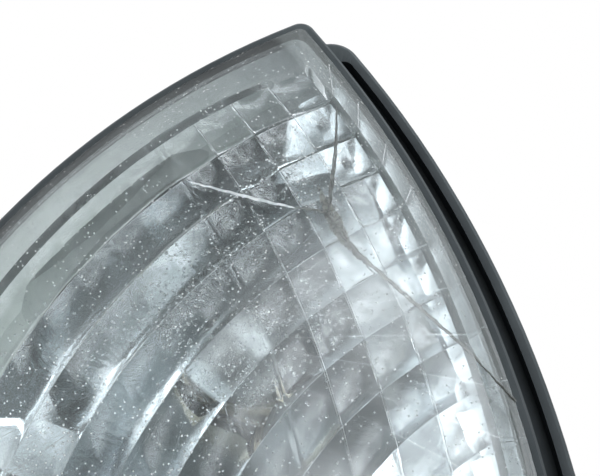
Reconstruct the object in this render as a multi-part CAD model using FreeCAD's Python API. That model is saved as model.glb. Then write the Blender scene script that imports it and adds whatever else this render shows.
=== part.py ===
"""Front turn signal indicator of a scooter: a clear three-cornered lens with stepped optics,
bonded into a moulded tub that holds a bright reflector and a twist-out bulb holder.

Frame: millimetres, +Z up, X to the right, the lens faces -Y. The origin is on the bulb axis,
in the plane of the three rear washers, at the centre of their stud circle.
"""

import FreeCAD
import Part
import math
import os

V = FreeCAD.Vector
BACKWARDS = V(0, 1, 0)

# --- Outline of the lamp, seen from the front, as (x, z) -----------------------------------
CORNER_TOP = (45.2, 53.5)        # sharp corner where the top and the outer side meet
CORNER_TIP = (-72.0, 15.5)       # sharp corner at the inner tip
CORNER_FOOT = (25.5, -70.0)      # sharp corner at the lower end
TOP_RADIUS = 151.2               # bow of the top side
OUTER_RADIUS = 221.4             # bow of the outer side
LOWER_RADIUS = 170.0             # bow of the lower side
ROUND_TOP = 3.0                  # corner roundings of the rim
ROUND_TIP = 14.0
ROUND_FOOT = 12.0
ROUND_LEAST = 1.6                # no inner outline has a sharper corner than this

# --- Play between pieces --------------------------------------------------------------------
PLAY = 0.3                       # between moulded pieces that move past each other
SCREW_FIT = 0.05                 # between a screw or stud and what it goes through

# --- Depths along Y -------------------------------------------------------------------------
SEAT_Y = 0.0                     # rubber washers against the bracket
BACK_Y = -12.0                   # outside of the tub's back wall
WALL = 2.4                       # wall of the tub
BACK_BEVEL = 3.5                 # slope round the back wall
FLANGE_Y = -34.0                 # front face of the panel flange
FLANGE_THICK = 2.6
RIM_Y = -47.0                    # front of the rim round the lens
CHANNEL_DEPTH = 6.0              # groove that takes the lens foot

# --- Rim, groove and flange; three offsets are those of the top, outer and lower side --------
RIM_LIP = 1.8                    # outer lip of the groove
GROOVE = 3.0                     # width of the groove
INNER_LIP = 1.6                  # inner lip of the groove
INNER_LIP_DROP = 2.5             # how far the inner lip stays behind the rim
LIP_ROUND = 0.6
TUB_SETBACK = 0.8                # from the edge of the rim in to the tub behind it
WAIST = (-6.5, 0.4, -2.0)        # tub at the flange
TUB_INSET = 9.0                  # how much smaller the tub is at its back
FLANGE_OFFSET = (-0.8, 7.3, 3.0) # edge of the flange
FLANGE_EASE = 0.9                # bevel along its edge
TROUGH = (-6.6, 4.9, -2.1)       # outer wall of the trough between tub and flange; only the outer side has one
TROUGH_DEPTH = 3.4
GASKET_WIDTH = 3.4
GASKET_THICK = 2.2
GASKET_EDGE = 1.0                # from the edge of the flange to the gasket
GASKET_BEVEL = 0.7

# --- Lens -----------------------------------------------------------------------------------
LENS_WALL = 2.2
FOOT_PLAY = 0.2                  # play of the lens foot in the groove
SEAL_THICK = 1.0                 # bead of sealant under the foot
RIDGE = (-12.8, -8.0, -10.0)     # where the slanted sides end
RIDGE_Y = -57.0                  # depth at which they would reach those offsets
RIDGE_SLOPE = 1.2                # slope beyond, for each 2 mm of depth
DOME_RADIUS = 300.0
DOME_X, DOME_Z = -6.0, -2.0      # highest point of the front face
DOME_Y = -59.0
ROW_PITCH = 8.9
ROW_STEP = 1.0                   # height of the step between two rows
COLUMN_PITCH = 8.2
COLUMN_RIB = 0.5                 # rib between two columns
RIB_RISE = 0.3                   # ribs stand this far above the deep end of a row

# --- Reflector ------------------------------------------------------------------------------
FOCAL = 15.0
VERTEX_Y = -20.0
MIRROR_WALL = 1.8
MIRROR_FLANGE = 1.5
MIRROR_OPENING = (-14.0, -10.5, -12.0)
MIRROR_PORT = 10.5               # radius of the hole that the bulb comes through
RAMP_INSET = 14.0                # ramps fill the corners that the paraboloid can't reach
RAMP_DEPTH = 7.0
PARABOLA_STEPS = 12

# --- Studs, screws and breather --------------------------------------------------------------
STUD_CIRCLE = 40.0               # radius of the stud circle
STUD_ANGLE = 52.0                # first stud, anticlockwise from +X seen from the front
STUD_COUNT = 3
STUD_R = 2.5
STUD_LENGTH = 13.0               # length behind the seat
STUD_SHOULDER_R = 2.9            # plain part through boss and washer, so that the nut can't crush the washer
STUD_TIP = 0.8                   # bevel at the end
STUD_HEAD_R = 4.2
STUD_HEAD = 3.0
STUD_BURIED = 8.0                # length inside the boss, head included
WASHER_R = 6.0
WASHER_THICK = 1.5
BOSS_R = 6.5
BOSS_TAPER = 1.6
BOSS_ROOT_Y = -27.0
RIB_WIDTH = 1.8
RIB_HEIGHT = 4.0
SCREW_CIRCLE = 24.0
SCREW_ANGLE = 112.0
SCREW_COUNT = 3
SCREW_R = 1.45
SCREW_LENGTH = 13.0
SCREW_POINT = 2.0
SCREW_HEAD_R = 3.0
SCREW_HEAD = 2.2
SCREW_CROWN = 4.2                # radius of the domed head
SCREW_POST_R = 3.3
SCREW_POST_OVERLAP = 1.0         # how far a post runs into the bowl before the bowl is cut
CROSS_LENGTH = 3.2
CROSS_WIDTH = 0.7
CROSS_DEPTH = 1.1
BREATHER_ANGLE = 82.0
BREATHER_CIRCLE = 27.0
SPIGOT_R = 2.8
SPIGOT_BORE = 1.4
SPIGOT_LENGTH = 6.0
CAP_WALL = 1.3
CAP_LIFT = 1.0                   # gap between the cap's skirt and the back wall
CAP_NOTCH = 1.4
FILTER_THICK = 0.6

# --- Bulb -----------------------------------------------------------------------------------
BULB_R = 9.0
GLASS = 0.7
NECK_IN_CAP = 2.0                # length of the neck inside the cap
CAP_R = 7.5
CAP_SHEET = 0.4
NECK_FIT = 0.5                   # gap for cement between neck and cap
CAP_NOSE = 1.2                   # bevel round the rear of the cap
CAP_NOSE_R = 5.1
LIGHT_TO_TIP = 11.5              # standard distances from the light centre
LIGHT_TO_CONTACT = 26.0
LIGHT_TO_CAP_FRONT = 8.5
LIGHT_TO_PINS = 19.0
CONTACT_R = 2.0
CONTACT_HEIGHT = 1.0
PLUG_DEPTH = 2.0                 # thickness of the black glass round the contact
PIN_R = 1.0
PIN_PROUD = 1.2                  # how far the bayonet pins stand out of the cap
PIN_ANGLES = (15.0, 195.0)
FILAMENT_LENGTH = 5.0
FILAMENT_R = 0.5
FILAMENT_END = 0.5               # length beyond each support
SUPPORT_R = 0.25
STEM_R = 2.6
STEM_NECK_R = 1.3
STEM_LENGTH = 5.0

# --- Bulb holder ----------------------------------------------------------------------------
PORT_R = 13.2                    # hole in the back wall
LUG_COUNT = 3
LUG_REACH = 2.3                  # how far the notches reach out of the hole
LUG_ARC = 24.0                   # degrees
LUG_THICK = 2.0
LUG_ANGLE = 65.0                 # first lug in the locked position
NOTCH_ARC = 30.0
UNLOCK_TURN = 45.0
STOP_ARC = 5.0
STOP_GAP = 1.5                   # degrees between a lug and its stop
HOLDER_SEAL = 1.2
SEAL_CLEAR = 0.4                 # from the notches to the seal
SEAL_WIDTH = 1.1
SEAL_INSET = 0.6                 # from the seal to the edge of the holder's flange
HOLDER_FLANGE = 2.5
COLLAR_GAP = 0.6                 # round the holder's flange
COLLAR_WIDTH = 1.5
COLLAR_HEIGHT = 2.4
GRIP_R = 11.5
GRIP_END_Y = 4.0
GRIP_FLOOR = 3.0
WING_WIDTH = 3.2
WING_REACH = 16.0
WING_DROP = 1.5                  # wings end this far before the grip does
SLEEVE_WALL = 0.6
SLEEVE_FRONT_Y = -23.0
SLEEVE_REAR_Y = -4.5
SLEEVE_SEAT = 0.4                # shoulder that the sleeve stands on
PUSH = 1.3                       # travel of the bulb against its spring
BAYONET_TURN = 22.0              # from the straight slot to the seat of the pin
TAB_WIDTH = 6.3
TAB_THICK = 0.8
TAB_LENGTH = 8.5
TAB_OFFSET = 4.8
TAB_CORNER = 1.2
TAB_HOLE_R = 0.85
TAB_HOLE_INSET = 3.6
FOOT_THICK = 0.6
FOOT_WIDTH = 3.0

# --- Spring contact -------------------------------------------------------------------------
PLUNGER_R = 1.5
PLUNGER_LENGTH = 5.5
PLUNGER_HEAD_R = 2.6
PLUNGER_HEAD = 0.8
INSULATOR = 1.2
SPRING_R = 3.4
SPRING_WIRE = 0.5
SPRING_TURNS = 5
SPRING_GAP = 0.05

# --- Sizes that follow ------------------------------------------------------------------------
INNER_BACK_Y = BACK_Y - WALL
CHANNEL_Y = RIM_Y + CHANNEL_DEPTH
CHANNEL_FLOOR_Y = CHANNEL_Y + WALL
FOOT_Y = CHANNEL_Y - SEAL_THICK
INNER_LIP_Y = RIM_Y + INNER_LIP_DROP
LIP_EDGE = -RIM_LIP              # outer wall of the groove
LENS_EDGE = LIP_EDGE - FOOT_PLAY
LENS_INNER = LIP_EDGE - GROOVE + FOOT_PLAY
MIRROR_Y = INNER_LIP_Y - MIRROR_FLANGE
BOSS_Y = SEAT_Y - WASHER_THICK
STUD_START_Y = BOSS_Y - STUD_BURIED
LIGHT_Y = VERTEX_Y - FOCAL
CONTACT_Y = LIGHT_Y + LIGHT_TO_CONTACT
CAP_FRONT_Y = LIGHT_Y + LIGHT_TO_CAP_FRONT
CAP_REAR_Y = CONTACT_Y - CONTACT_HEIGHT
NECK_END_Y = CAP_FRONT_Y + NECK_IN_CAP
NECK_R = CAP_R - CAP_SHEET - NECK_FIT
PIN_REACH = CAP_R + PIN_PROUD    # from the axis
STEM_Y = NECK_END_Y - GLASS
PIN_Y = LIGHT_Y + LIGHT_TO_PINS
PIN_ROOM = PIN_R + PLAY          # half the width of the bayonet slots
SLEEVE_R = CAP_R + PLAY
HOLDER_Y = BACK_Y + HOLDER_SEAL
SEAL_INNER_R = PORT_R + LUG_REACH + SEAL_CLEAR
SEAL_OUTER_R = SEAL_INNER_R + SEAL_WIDTH
HOLDER_FLANGE_R = SEAL_OUTER_R + SEAL_INSET
LUG_Y = INNER_BACK_Y - PLAY
FOOT_FLOOR_Y = GRIP_END_Y - GRIP_FLOOR
FOOT_TOP_Y = FOOT_FLOOR_Y - FOOT_THICK
DISC_Y = CONTACT_Y + PLUNGER_HEAD


# --- Outline geometry -------------------------------------------------------------------------
def arc_centre(start, end, radius):
    """Centre of the arc from start to end that bows away from the lamp's middle (anticlockwise run)."""
    mid = ((start[0] + end[0]) / 2, (start[1] + end[1]) / 2)
    run = (end[0] - start[0], end[1] - start[1])
    half = math.hypot(*run) / 2
    depth = math.sqrt(radius ** 2 - half ** 2)
    inward = (-run[1] / (2 * half), run[0] / (2 * half))
    return (mid[0] + inward[0] * depth, mid[1] + inward[1] * depth)


TOP_CENTRE = arc_centre(CORNER_TOP, CORNER_TIP, TOP_RADIUS)
LOWER_CENTRE = arc_centre(CORNER_TIP, CORNER_FOOT, LOWER_RADIUS)
OUTER_CENTRE = arc_centre(CORNER_FOOT, CORNER_TOP, OUTER_RADIUS)


def meet(centre_a, radius_a, centre_b, radius_b, near):
    """The crossing of two circles that lies nearer to a given point."""
    dx, dz = centre_b[0] - centre_a[0], centre_b[1] - centre_a[1]
    gap = math.hypot(dx, dz)
    along = (radius_a ** 2 - radius_b ** 2 + gap ** 2) / (2 * gap)
    across = math.sqrt(radius_a ** 2 - along ** 2)
    foot = (centre_a[0] + dx * along / gap, centre_a[1] + dz * along / gap)
    found = [(foot[0] - s * dz * across / gap, foot[1] + s * dx * across / gap) for s in (1, -1)]
    return min(found, key=lambda p: math.hypot(p[0] - near[0], p[1] - near[1]))


def towards(centre, radius, point):
    """The point of a circle that lies in the direction of another point."""
    dx, dz = point[0] - centre[0], point[1] - centre[1]
    size = math.hypot(dx, dz)
    return (centre[0] + dx * radius / size, centre[1] + dz * radius / size)


def outline(offset, y):
    """Closed wire at depth y: the lamp's outline moved outwards, by one offset or by one for each side."""
    top, outer, lower = offset if isinstance(offset, tuple) else (offset,) * 3
    sides = [(TOP_CENTRE, TOP_RADIUS + top), (LOWER_CENTRE, LOWER_RADIUS + lower),
             (OUTER_CENTRE, OUTER_RADIUS + outer)]
    corners = [(0, 1, CORNER_TIP, ROUND_TIP + (top + lower) / 2),
               (1, 2, CORNER_FOOT, ROUND_FOOT + (lower + outer) / 2),
               (2, 0, CORNER_TOP, ROUND_TOP + (outer + top) / 2)]
    rounds = []
    for before, after, near, radius in corners:
        radius = max(radius, ROUND_LEAST)
        (ca, ra), (cb, rb) = sides[before], sides[after]
        centre = meet(ca, ra - radius, cb, rb - radius, near)
        start, end = towards(ca, ra, centre), towards(cb, rb, centre)
        middle = towards(centre, radius, ((start[0] + end[0]) / 2, (start[1] + end[1]) / 2))
        rounds.append((start, middle, end))
    edges = []
    for i in range(3):
        begin, finish = rounds[i - 1][2], rounds[i][0]
        centre, radius = sides[i]
        bow = towards(centre, radius, ((begin[0] + finish[0]) / 2, (begin[1] + finish[1]) / 2))
        for points in ((begin, bow, finish), rounds[i]):
            a, b, c = (V(x, y, z) for x, z in points)
            edges.append(Part.Arc(a, b, c).toShape())
    return Part.Wire(edges)


def prism(offset, y_from, y_to):
    """Upright block over an outline, from one depth to another."""
    return Part.Face(outline(offset, y_from)).extrude(V(0, y_to - y_from, 0))


def loft(*sections):
    """Ruled solid through outlines given as (offset, y)."""
    return Part.makeLoft([outline(offset, y) for offset, y in sections], True, True)


def shifted(offset, by):
    """The same outline offsets, all moved by one more amount."""
    return tuple(o + by for o in offset)


def rod(radius, y_from, y_to, x=0.0, z=0.0):
    """Cylinder along Y."""
    return Part.makeCylinder(radius, y_to - y_from, V(x, y_from, z), BACKWARDS)


def tube(outer, inner, y_from, y_to, x=0.0, z=0.0):
    """Hollow cylinder along Y."""
    return rod(outer, y_from, y_to, x, z).cut(rod(inner, y_from - 1, y_to + 1, x, z))


def turned(points):
    """Solid of revolution about the bulb axis from (radius, y) points."""
    wire = Part.makePolygon([V(r, y, 0) for r, y in points] + [V(points[0][0], points[0][1], 0)])
    return Part.Face(wire).revolve(V(0, 0, 0), BACKWARDS, 360)


def ball(centre_y, radius, x=0.0, z=0.0):
    return Part.makeSphere(radius, V(x, centre_y, z))


def ring_places(count, circle, first_angle):
    """Evenly spaced places on a circle round the bulb axis, as (x, z)."""
    places = []
    for i in range(count):
        a = math.radians(first_angle + 360.0 * i / count)
        places.append((circle * math.cos(a), circle * math.sin(a)))
    return places


def sector(inner, outer, middle_angle, arc, y_from, y_to):
    """Piece of a ring round the bulb axis, arc degrees wide."""
    piece = tube(outer, inner, y_from, y_to)
    half, far = math.radians(arc / 2), outer * 3
    mid = math.radians(middle_angle)
    corners = [V(0, y_from, 0)]
    for a in (mid - half, mid + half):
        corners.append(V(far * math.cos(a), y_from, far * math.sin(a)))
    wedge = Part.Face(Part.makePolygon(corners + corners[:1])).extrude(V(0, y_to - y_from, 0))
    return piece.common(wedge)


# --- Lens -------------------------------------------------------------------------------------
def dome(depth):
    """Ball whose surface lies a given depth behind the lens's front face."""
    return ball(DOME_Y + DOME_RADIUS, DOME_RADIUS - depth, DOME_X, DOME_Z)


def lens_block(wall, edge):
    """Block bounded by the slanted sides, a wall's thickness inside the outer ones."""
    side = shifted(RIDGE, -wall)
    return loft((edge, RIM_Y), (side, RIDGE_Y), (shifted(side, -RIDGE_SLOPE), RIDGE_Y - 2))


def tilted_ball(inset_from_top):
    """Ball like the inside of the dome, tipped so that a row's lower edge lies one step deeper."""
    radius = DOME_RADIUS - LENS_WALL
    away = (DOME_X - TOP_CENTRE[0], DOME_Z - TOP_CENTRE[1])
    way = (away[0] / math.hypot(*away), away[1] / math.hypot(*away))
    reach = TOP_RADIUS - inset_from_top - ROW_PITCH / 2
    middle = (TOP_CENTRE[0] + way[0] * reach, TOP_CENTRE[1] + way[1] * reach)
    sag = radius - math.sqrt(radius ** 2 - math.dist(middle, (DOME_X, DOME_Z)) ** 2)
    middle_y = DOME_Y + LENS_WALL + ROW_STEP / 2 + sag
    shift = radius * ROW_STEP / ROW_PITCH
    x, z = DOME_X - way[0] * shift, DOME_Z - way[1] * shift
    centre_y = middle_y + math.sqrt(radius ** 2 - math.dist(middle, (x, z)) ** 2)
    return ball(centre_y, radius, x, z)


def optics():
    """Hollows of the stepped optics: rows along the top side, parted by ribs along the outer side."""
    front, back = DOME_Y - 1, RIM_Y
    field = prism(shifted(RIDGE, -LENS_WALL), front, back)
    columns = []
    radius = OUTER_RADIUS + RIDGE[1] - LENS_WALL
    while radius > math.dist(OUTER_CENTRE, CORNER_TIP):
        columns.append(tube(radius, radius - COLUMN_PITCH + COLUMN_RIB, front, back, *OUTER_CENTRE))
        radius -= COLUMN_PITCH
    field = field.common(Part.makeCompound(columns))
    cells = []
    inset = -RIDGE[0]
    while inset < TOP_RADIUS - math.dist(TOP_CENTRE, CORNER_FOOT):
        outer = TOP_RADIUS - inset
        ring = tube(outer, outer - ROW_PITCH, front, back, *TOP_CENTRE)
        cells += field.common(ring).common(tilted_ball(inset)).Solids
        inset += ROW_PITCH
    return cells


def lens():
    """Clear cover: front dome, slanted sides, a foot ring for the groove, and stepped optics inside."""
    shell = lens_block(0.0, LENS_EDGE).common(dome(0))
    foot = prism(LENS_EDGE, RIM_Y, FOOT_Y)
    hollow = lens_block(LENS_WALL, LENS_INNER).common(dome(LENS_WALL + ROW_STEP + RIB_RISE))
    opening = prism(LENS_INNER, RIM_Y, FOOT_Y + 1)
    return shell.fuse(foot).cut(hollow.fuse(opening)).cut(optics())


# --- Tub, flange, bosses and port -------------------------------------------------------------
def tub_form(inset):
    """Form of the tub from the groove to its back, made smaller by an inset."""
    waist, rear = shifted(WAIST, -inset), shifted(WAIST, -inset - TUB_INSET)
    back = BACK_Y - inset
    return loft((-TUB_SETBACK - inset, CHANNEL_FLOOR_Y - 1), (waist, FLANGE_Y + FLANGE_THICK),
                (rear, back - BACK_BEVEL), (shifted(rear, -BACK_BEVEL), back))


def rim():
    """Groove round the front: an outer lip with softened edges, the groove and a lower inner lip."""
    inner = LIP_EDGE - GROOVE - INNER_LIP
    bar = loft((0.0, CHANNEL_FLOOR_Y), (0.0, RIM_Y + LIP_ROUND), (-LIP_ROUND, RIM_Y))
    bar = bar.cut(prism(inner, RIM_Y - 1, CHANNEL_FLOOR_Y + 1))
    groove = prism(LIP_EDGE, RIM_Y - 1, CHANNEL_Y).cut(prism(LIP_EDGE - GROOVE, RIM_Y - 2, CHANNEL_Y + 1))
    drop = prism(LIP_EDGE, RIM_Y - 1, INNER_LIP_Y)
    return bar.cut(groove).cut(drop)


def flange():
    """Panel flange with a bevelled edge and a trough next to the tub."""
    front = FLANGE_Y - TROUGH_DEPTH
    plate = loft((shifted(FLANGE_OFFSET, -FLANGE_EASE), front), (FLANGE_OFFSET, front + FLANGE_EASE),
                 (FLANGE_OFFSET, FLANGE_Y + FLANGE_THICK))
    return plate.cut(prism(TROUGH, front - 1, FLANGE_Y))


def boss(x, z):
    """Tapered boss up to the rubber washer."""
    return Part.makeCone(BOSS_R + BOSS_TAPER, BOSS_R, BOSS_Y - BOSS_ROOT_Y, V(x, BOSS_ROOT_Y, z), BACKWARDS)


def boss_rib(angle):
    """Rib on the back wall from the holder's collar to a boss, sloping up to the boss."""
    start, end = HOLDER_FLANGE_R + COLLAR_GAP + COLLAR_WIDTH / 2, STUD_CIRCLE
    side = [(start, INNER_BACK_Y + WALL / 2), (start, BACK_Y + COLLAR_HEIGHT),
            (end - BOSS_R, BACK_Y + COLLAR_HEIGHT + RIB_HEIGHT), (end, BACK_Y + COLLAR_HEIGHT + RIB_HEIGHT),
            (end, INNER_BACK_Y + WALL / 2)]
    points = [V(r, y, -RIB_WIDTH / 2) for r, y in side]
    rib = Part.Face(Part.makePolygon(points + points[:1])).extrude(V(0, 0, RIB_WIDTH))
    rib.rotate(V(0, 0, 0), BACKWARDS, -angle)
    return rib


def housing():
    """Moulded tub with its rim, panel flange, stud bosses, breather spigot and bayonet port."""
    studs = ring_places(STUD_COUNT, STUD_CIRCLE, STUD_ANGLE)
    bx, bz = ring_places(1, BREATHER_CIRCLE, BREATHER_ANGLE)[0]
    collar = HOLDER_FLANGE_R + COLLAR_GAP
    additions = [flange(), rod(SPIGOT_R, INNER_BACK_Y, BACK_Y + SPIGOT_LENGTH, bx, bz),
                 tube(collar + COLLAR_WIDTH, collar, INNER_BACK_Y, BACK_Y + COLLAR_HEIGHT)]
    additions += [boss(x, z) for x, z in studs]
    additions += [boss_rib(STUD_ANGLE + 360.0 * i / STUD_COUNT) for i in range(STUD_COUNT)]
    body = tub_form(0.0).multiFuse(additions).cut(tub_form(WALL)).fuse(rim())
    holes = [rod(PORT_R, INNER_BACK_Y - 1, BACK_Y + 1), rod(SPIGOT_BORE, INNER_BACK_Y - 1, SEAT_Y, bx, bz)]
    stops = []
    for i in range(LUG_COUNT):
        locked = LUG_ANGLE + 360.0 * i / LUG_COUNT
        holes.append(sector(PORT_R - 1, PORT_R + LUG_REACH, locked - UNLOCK_TURN, NOTCH_ARC,
                            INNER_BACK_Y - 1, BACK_Y + 1))
        past = LUG_ARC / 2 + STOP_GAP + STOP_ARC / 2
        for angle in (locked + past, locked - UNLOCK_TURN - past):
            stops.append(sector(PORT_R + PLAY, PORT_R + LUG_REACH, angle, STOP_ARC,
                                LUG_Y - LUG_THICK, INNER_BACK_Y + WALL / 2))
    for x, z in studs:
        holes.append(rod(STUD_HEAD_R, STUD_START_Y, STUD_START_Y + STUD_HEAD, x, z))
        holes.append(rod(STUD_SHOULDER_R, STUD_START_Y, SEAT_Y, x, z))
    for x, z in ring_places(SCREW_COUNT, SCREW_CIRCLE, SCREW_ANGLE):
        holes.append(rod(SCREW_R + PLAY, INNER_BACK_Y - 1, BACK_Y + 1, x, z))
    return body.cut(holes).multiFuse(stops)


# --- Reflector --------------------------------------------------------------------------------
def paraboloid(vertex_y):
    """Solid inside a paraboloid of revolution about the bulb axis, from its vertex past the lens."""
    depth = vertex_y - MIRROR_Y + 2
    reach = 2 * math.sqrt(FOCAL * depth)
    radii = [reach * i / PARABOLA_STEPS for i in range(PARABOLA_STEPS + 1)]
    curve = Part.BSplineCurve()
    curve.interpolate([V(r, vertex_y - r ** 2 / (4 * FOCAL), 0) for r in radii])
    top = V(0, vertex_y - depth, 0)
    wire = Part.Wire([curve.toShape(), Part.makeLine(V(reach, top.y, 0), top),
                      Part.makeLine(top, V(0, vertex_y, 0))])
    return Part.Face(wire).revolve(V(0, 0, 0), BACKWARDS, 360)


def bowl(wall):
    """Room of the bowl, made larger by a wall: paraboloid, cut off by the opening, with corner ramps."""
    opening = shifted(MIRROR_OPENING, wall)
    front = MIRROR_Y - 1
    dish = paraboloid(VERTEX_Y + wall).common(prism(opening, VERTEX_Y + wall, front))
    ramp = loft((opening, front), (shifted(opening, -RAMP_INSET), MIRROR_Y + RAMP_DEPTH + wall))
    return dish.fuse(ramp)


def reflector():
    """Metallised bowl with a flat flange in front and three screw posts behind."""
    plate = prism(LIP_EDGE - GROOVE - PLAY, MIRROR_Y, INNER_LIP_Y)
    in_front = prism(0.0, MIRROR_Y - 5, MIRROR_Y)
    body = bowl(MIRROR_WALL).cut(in_front).fuse(plate)
    posts, pilots = [], [rod(MIRROR_PORT, MIRROR_Y, INNER_BACK_Y)]
    surface = VERTEX_Y - SCREW_CIRCLE ** 2 / (4 * FOCAL)
    for x, z in ring_places(SCREW_COUNT, SCREW_CIRCLE, SCREW_ANGLE):
        posts.append(rod(SCREW_POST_R, surface - SCREW_POST_OVERLAP, INNER_BACK_Y, x, z))
        pilots.append(rod(SCREW_R + SCREW_FIT, BACK_Y - SCREW_LENGTH - PLAY, INNER_BACK_Y + 1, x, z))
    return body.multiFuse(posts).cut(bowl(0.0)).cut(pilots)


# --- Seals and fasteners ----------------------------------------------------------------------
def lens_seal():
    """Bead of sealant at the bottom of the groove."""
    return prism(LENS_EDGE, FOOT_Y, CHANNEL_Y).cut(prism(LENS_INNER, FOOT_Y - 1, CHANNEL_Y + 1))


def panel_gasket():
    """Rubber strip behind the flange, bevelled towards the panel."""
    face = FLANGE_Y + FLANGE_THICK
    outer = shifted(FLANGE_OFFSET, -GASKET_EDGE)
    inner = shifted(outer, -GASKET_WIDTH)
    square = face + GASKET_THICK - GASKET_BEVEL
    body = loft((outer, face), (outer, square), (shifted(outer, -GASKET_BEVEL), face + GASKET_THICK))
    hole = loft((inner, face), (inner, square), (shifted(inner, GASKET_BEVEL), face + GASKET_THICK))
    return body.cut(hole)


def mounting_stud(x, z):
    """Steel stud with a buried head, a plain shoulder and a bevelled end."""
    end = SEAT_Y + STUD_LENGTH
    shank = rod(STUD_R, SEAT_Y, end - STUD_TIP, x, z)
    shoulder = rod(STUD_SHOULDER_R, STUD_START_Y, SEAT_Y, x, z)
    tip = Part.makeCone(STUD_R, STUD_R - STUD_TIP, STUD_TIP, V(x, end - STUD_TIP, z), BACKWARDS)
    head = rod(STUD_HEAD_R, STUD_START_Y, STUD_START_Y + STUD_HEAD, x, z)
    return shank.fuse([tip, shoulder, head]).removeSplitter()


def stud_washer(x, z):
    return tube(WASHER_R, STUD_SHOULDER_R + SCREW_FIT, BOSS_Y, SEAT_Y, x, z)


def reflector_screw(x, z):
    """Self-tapping pan-head screw with a cross recess, driven from behind."""
    top = BACK_Y + SCREW_HEAD
    head = ball(top - SCREW_CROWN, SCREW_CROWN, x, z).common(rod(SCREW_HEAD_R, BACK_Y, top, x, z))
    end = BACK_Y - SCREW_LENGTH
    point = Part.makeCone(SCREW_R / 4, SCREW_R, SCREW_POINT, V(x, end, z), BACKWARDS)
    screw = head.fuse([rod(SCREW_R, end + SCREW_POINT, BACK_Y, x, z), point])
    for size_x, size_z in ((CROSS_LENGTH, CROSS_WIDTH), (CROSS_WIDTH, CROSS_LENGTH)):
        corner = V(x - size_x / 2, top - CROSS_DEPTH, z - size_z / 2)
        screw = screw.cut(Part.makeBox(size_x, CROSS_DEPTH + 1, size_z, corner))
    return screw


def breather_cap():
    """Rubber cap over the breather spigot, with a filter room and air notches at its skirt."""
    x, z = ring_places(1, BREATHER_CIRCLE, BREATHER_ANGLE)[0]
    top = BACK_Y + SPIGOT_LENGTH
    cap = rod(SPIGOT_R + CAP_WALL, BACK_Y + CAP_LIFT, top + FILTER_THICK + CAP_WALL, x, z)
    room = rod(SPIGOT_R, BACK_Y, top + FILTER_THICK, x, z)
    reach = SPIGOT_R + CAP_WALL + 1
    notch = Part.makeBox(2 * reach, CAP_LIFT + CAP_NOTCH, CAP_NOTCH, V(x - reach, BACK_Y, z - CAP_NOTCH / 2))
    return cap.cut([room, notch])


def breather_filter():
    x, z = ring_places(1, BREATHER_CIRCLE, BREATHER_ANGLE)[0]
    top = BACK_Y + SPIGOT_LENGTH
    return rod(SPIGOT_R, top, top + FILTER_THICK, x, z)


# --- Bulb holder and its contacts ---------------------------------------------------------------
def tab(side):
    """Flat strip of a terminal on one side of the axis, through the floor of the holder."""
    corner = V(side * TAB_OFFSET - TAB_THICK / 2, FOOT_TOP_Y, -TAB_WIDTH / 2)
    return Part.makeBox(TAB_THICK, GRIP_END_Y + TAB_LENGTH - FOOT_TOP_Y, TAB_WIDTH, corner)


def earth_finger():
    """Strip that runs forward from the earth terminal's foot to the rear rim of the sleeve."""
    outer = SLEEVE_R + SLEEVE_WALL
    corner = V(-outer, SLEEVE_REAR_Y, -FOOT_WIDTH / 2)
    return Part.makeBox(SLEEVE_WALL, FOOT_FLOOR_Y - SLEEVE_REAR_Y, FOOT_WIDTH, corner)


def holder_body():
    """Twist-lock holder: plug with lugs, flange, grip with two wings and a stepped bore."""
    plug_r = PORT_R - PLAY
    front = LUG_Y - LUG_THICK
    wing_corner = V(-WING_REACH, HOLDER_Y, -WING_WIDTH / 2)
    parts = [rod(HOLDER_FLANGE_R, HOLDER_Y, HOLDER_Y + HOLDER_FLANGE), rod(GRIP_R, HOLDER_Y, GRIP_END_Y),
             Part.makeBox(2 * WING_REACH, GRIP_END_Y - WING_DROP - HOLDER_Y, WING_WIDTH, wing_corner)]
    for i in range(LUG_COUNT):
        parts.append(sector(plug_r - 1, PORT_R + LUG_REACH - PLAY, LUG_ANGLE + 360.0 * i / LUG_COUNT,
                            LUG_ARC, front, LUG_Y))
    body = rod(plug_r, front, HOLDER_Y).multiFuse(parts)
    pin_room = rod(PIN_REACH + PLAY, front - 1, PIN_Y + PUSH + PIN_ROOM)
    sleeve_room = rod(SLEEVE_R + SLEEVE_WALL, front - 1, SLEEVE_REAR_Y)
    spring_room = rod(SLEEVE_R - SLEEVE_SEAT, front - 1, FOOT_FLOOR_Y)
    return body.cut([pin_room, sleeve_room, spring_room, live_terminal(), earth_terminal()])


def terminal(side):
    """Spade terminal: tab with cut corners and a latch hole."""
    x, end = side * TAB_OFFSET, GRIP_END_Y + TAB_LENGTH
    strip = tab(side)
    for z in (-TAB_WIDTH / 2, TAB_WIDTH / 2):
        inward = z - math.copysign(TAB_CORNER, z)
        corner = Part.makePolygon([V(x - 1, end - TAB_CORNER, z), V(x - 1, end, z), V(x - 1, end, inward),
                                   V(x - 1, end - TAB_CORNER, z)])
        strip = strip.cut(Part.Face(corner).extrude(V(2, 0, 0)))
    hole = Part.makeCylinder(TAB_HOLE_R, 2 * TAB_THICK, V(x - TAB_THICK, end - TAB_HOLE_INSET, 0), V(1, 0, 0))
    return strip.cut(hole)


def live_terminal():
    """Live terminal: its foot is a disc that the contact spring stands on."""
    arm = Part.makeBox(TAB_OFFSET, FOOT_THICK, FOOT_WIDTH, V(0, FOOT_TOP_Y, -FOOT_WIDTH / 2))
    return terminal(1).fuse([rod(SPRING_R + PLAY, FOOT_TOP_Y, FOOT_FLOOR_Y), arm])


def earth_terminal():
    """Earth terminal: its foot leads to a finger that touches the bayonet sleeve."""
    reach = SLEEVE_R + SLEEVE_WALL
    foot = Part.makeBox(reach - TAB_OFFSET, FOOT_THICK, FOOT_WIDTH, V(-reach, FOOT_TOP_Y, -FOOT_WIDTH / 2))
    return terminal(-1).fuse([foot, earth_finger()])


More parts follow.
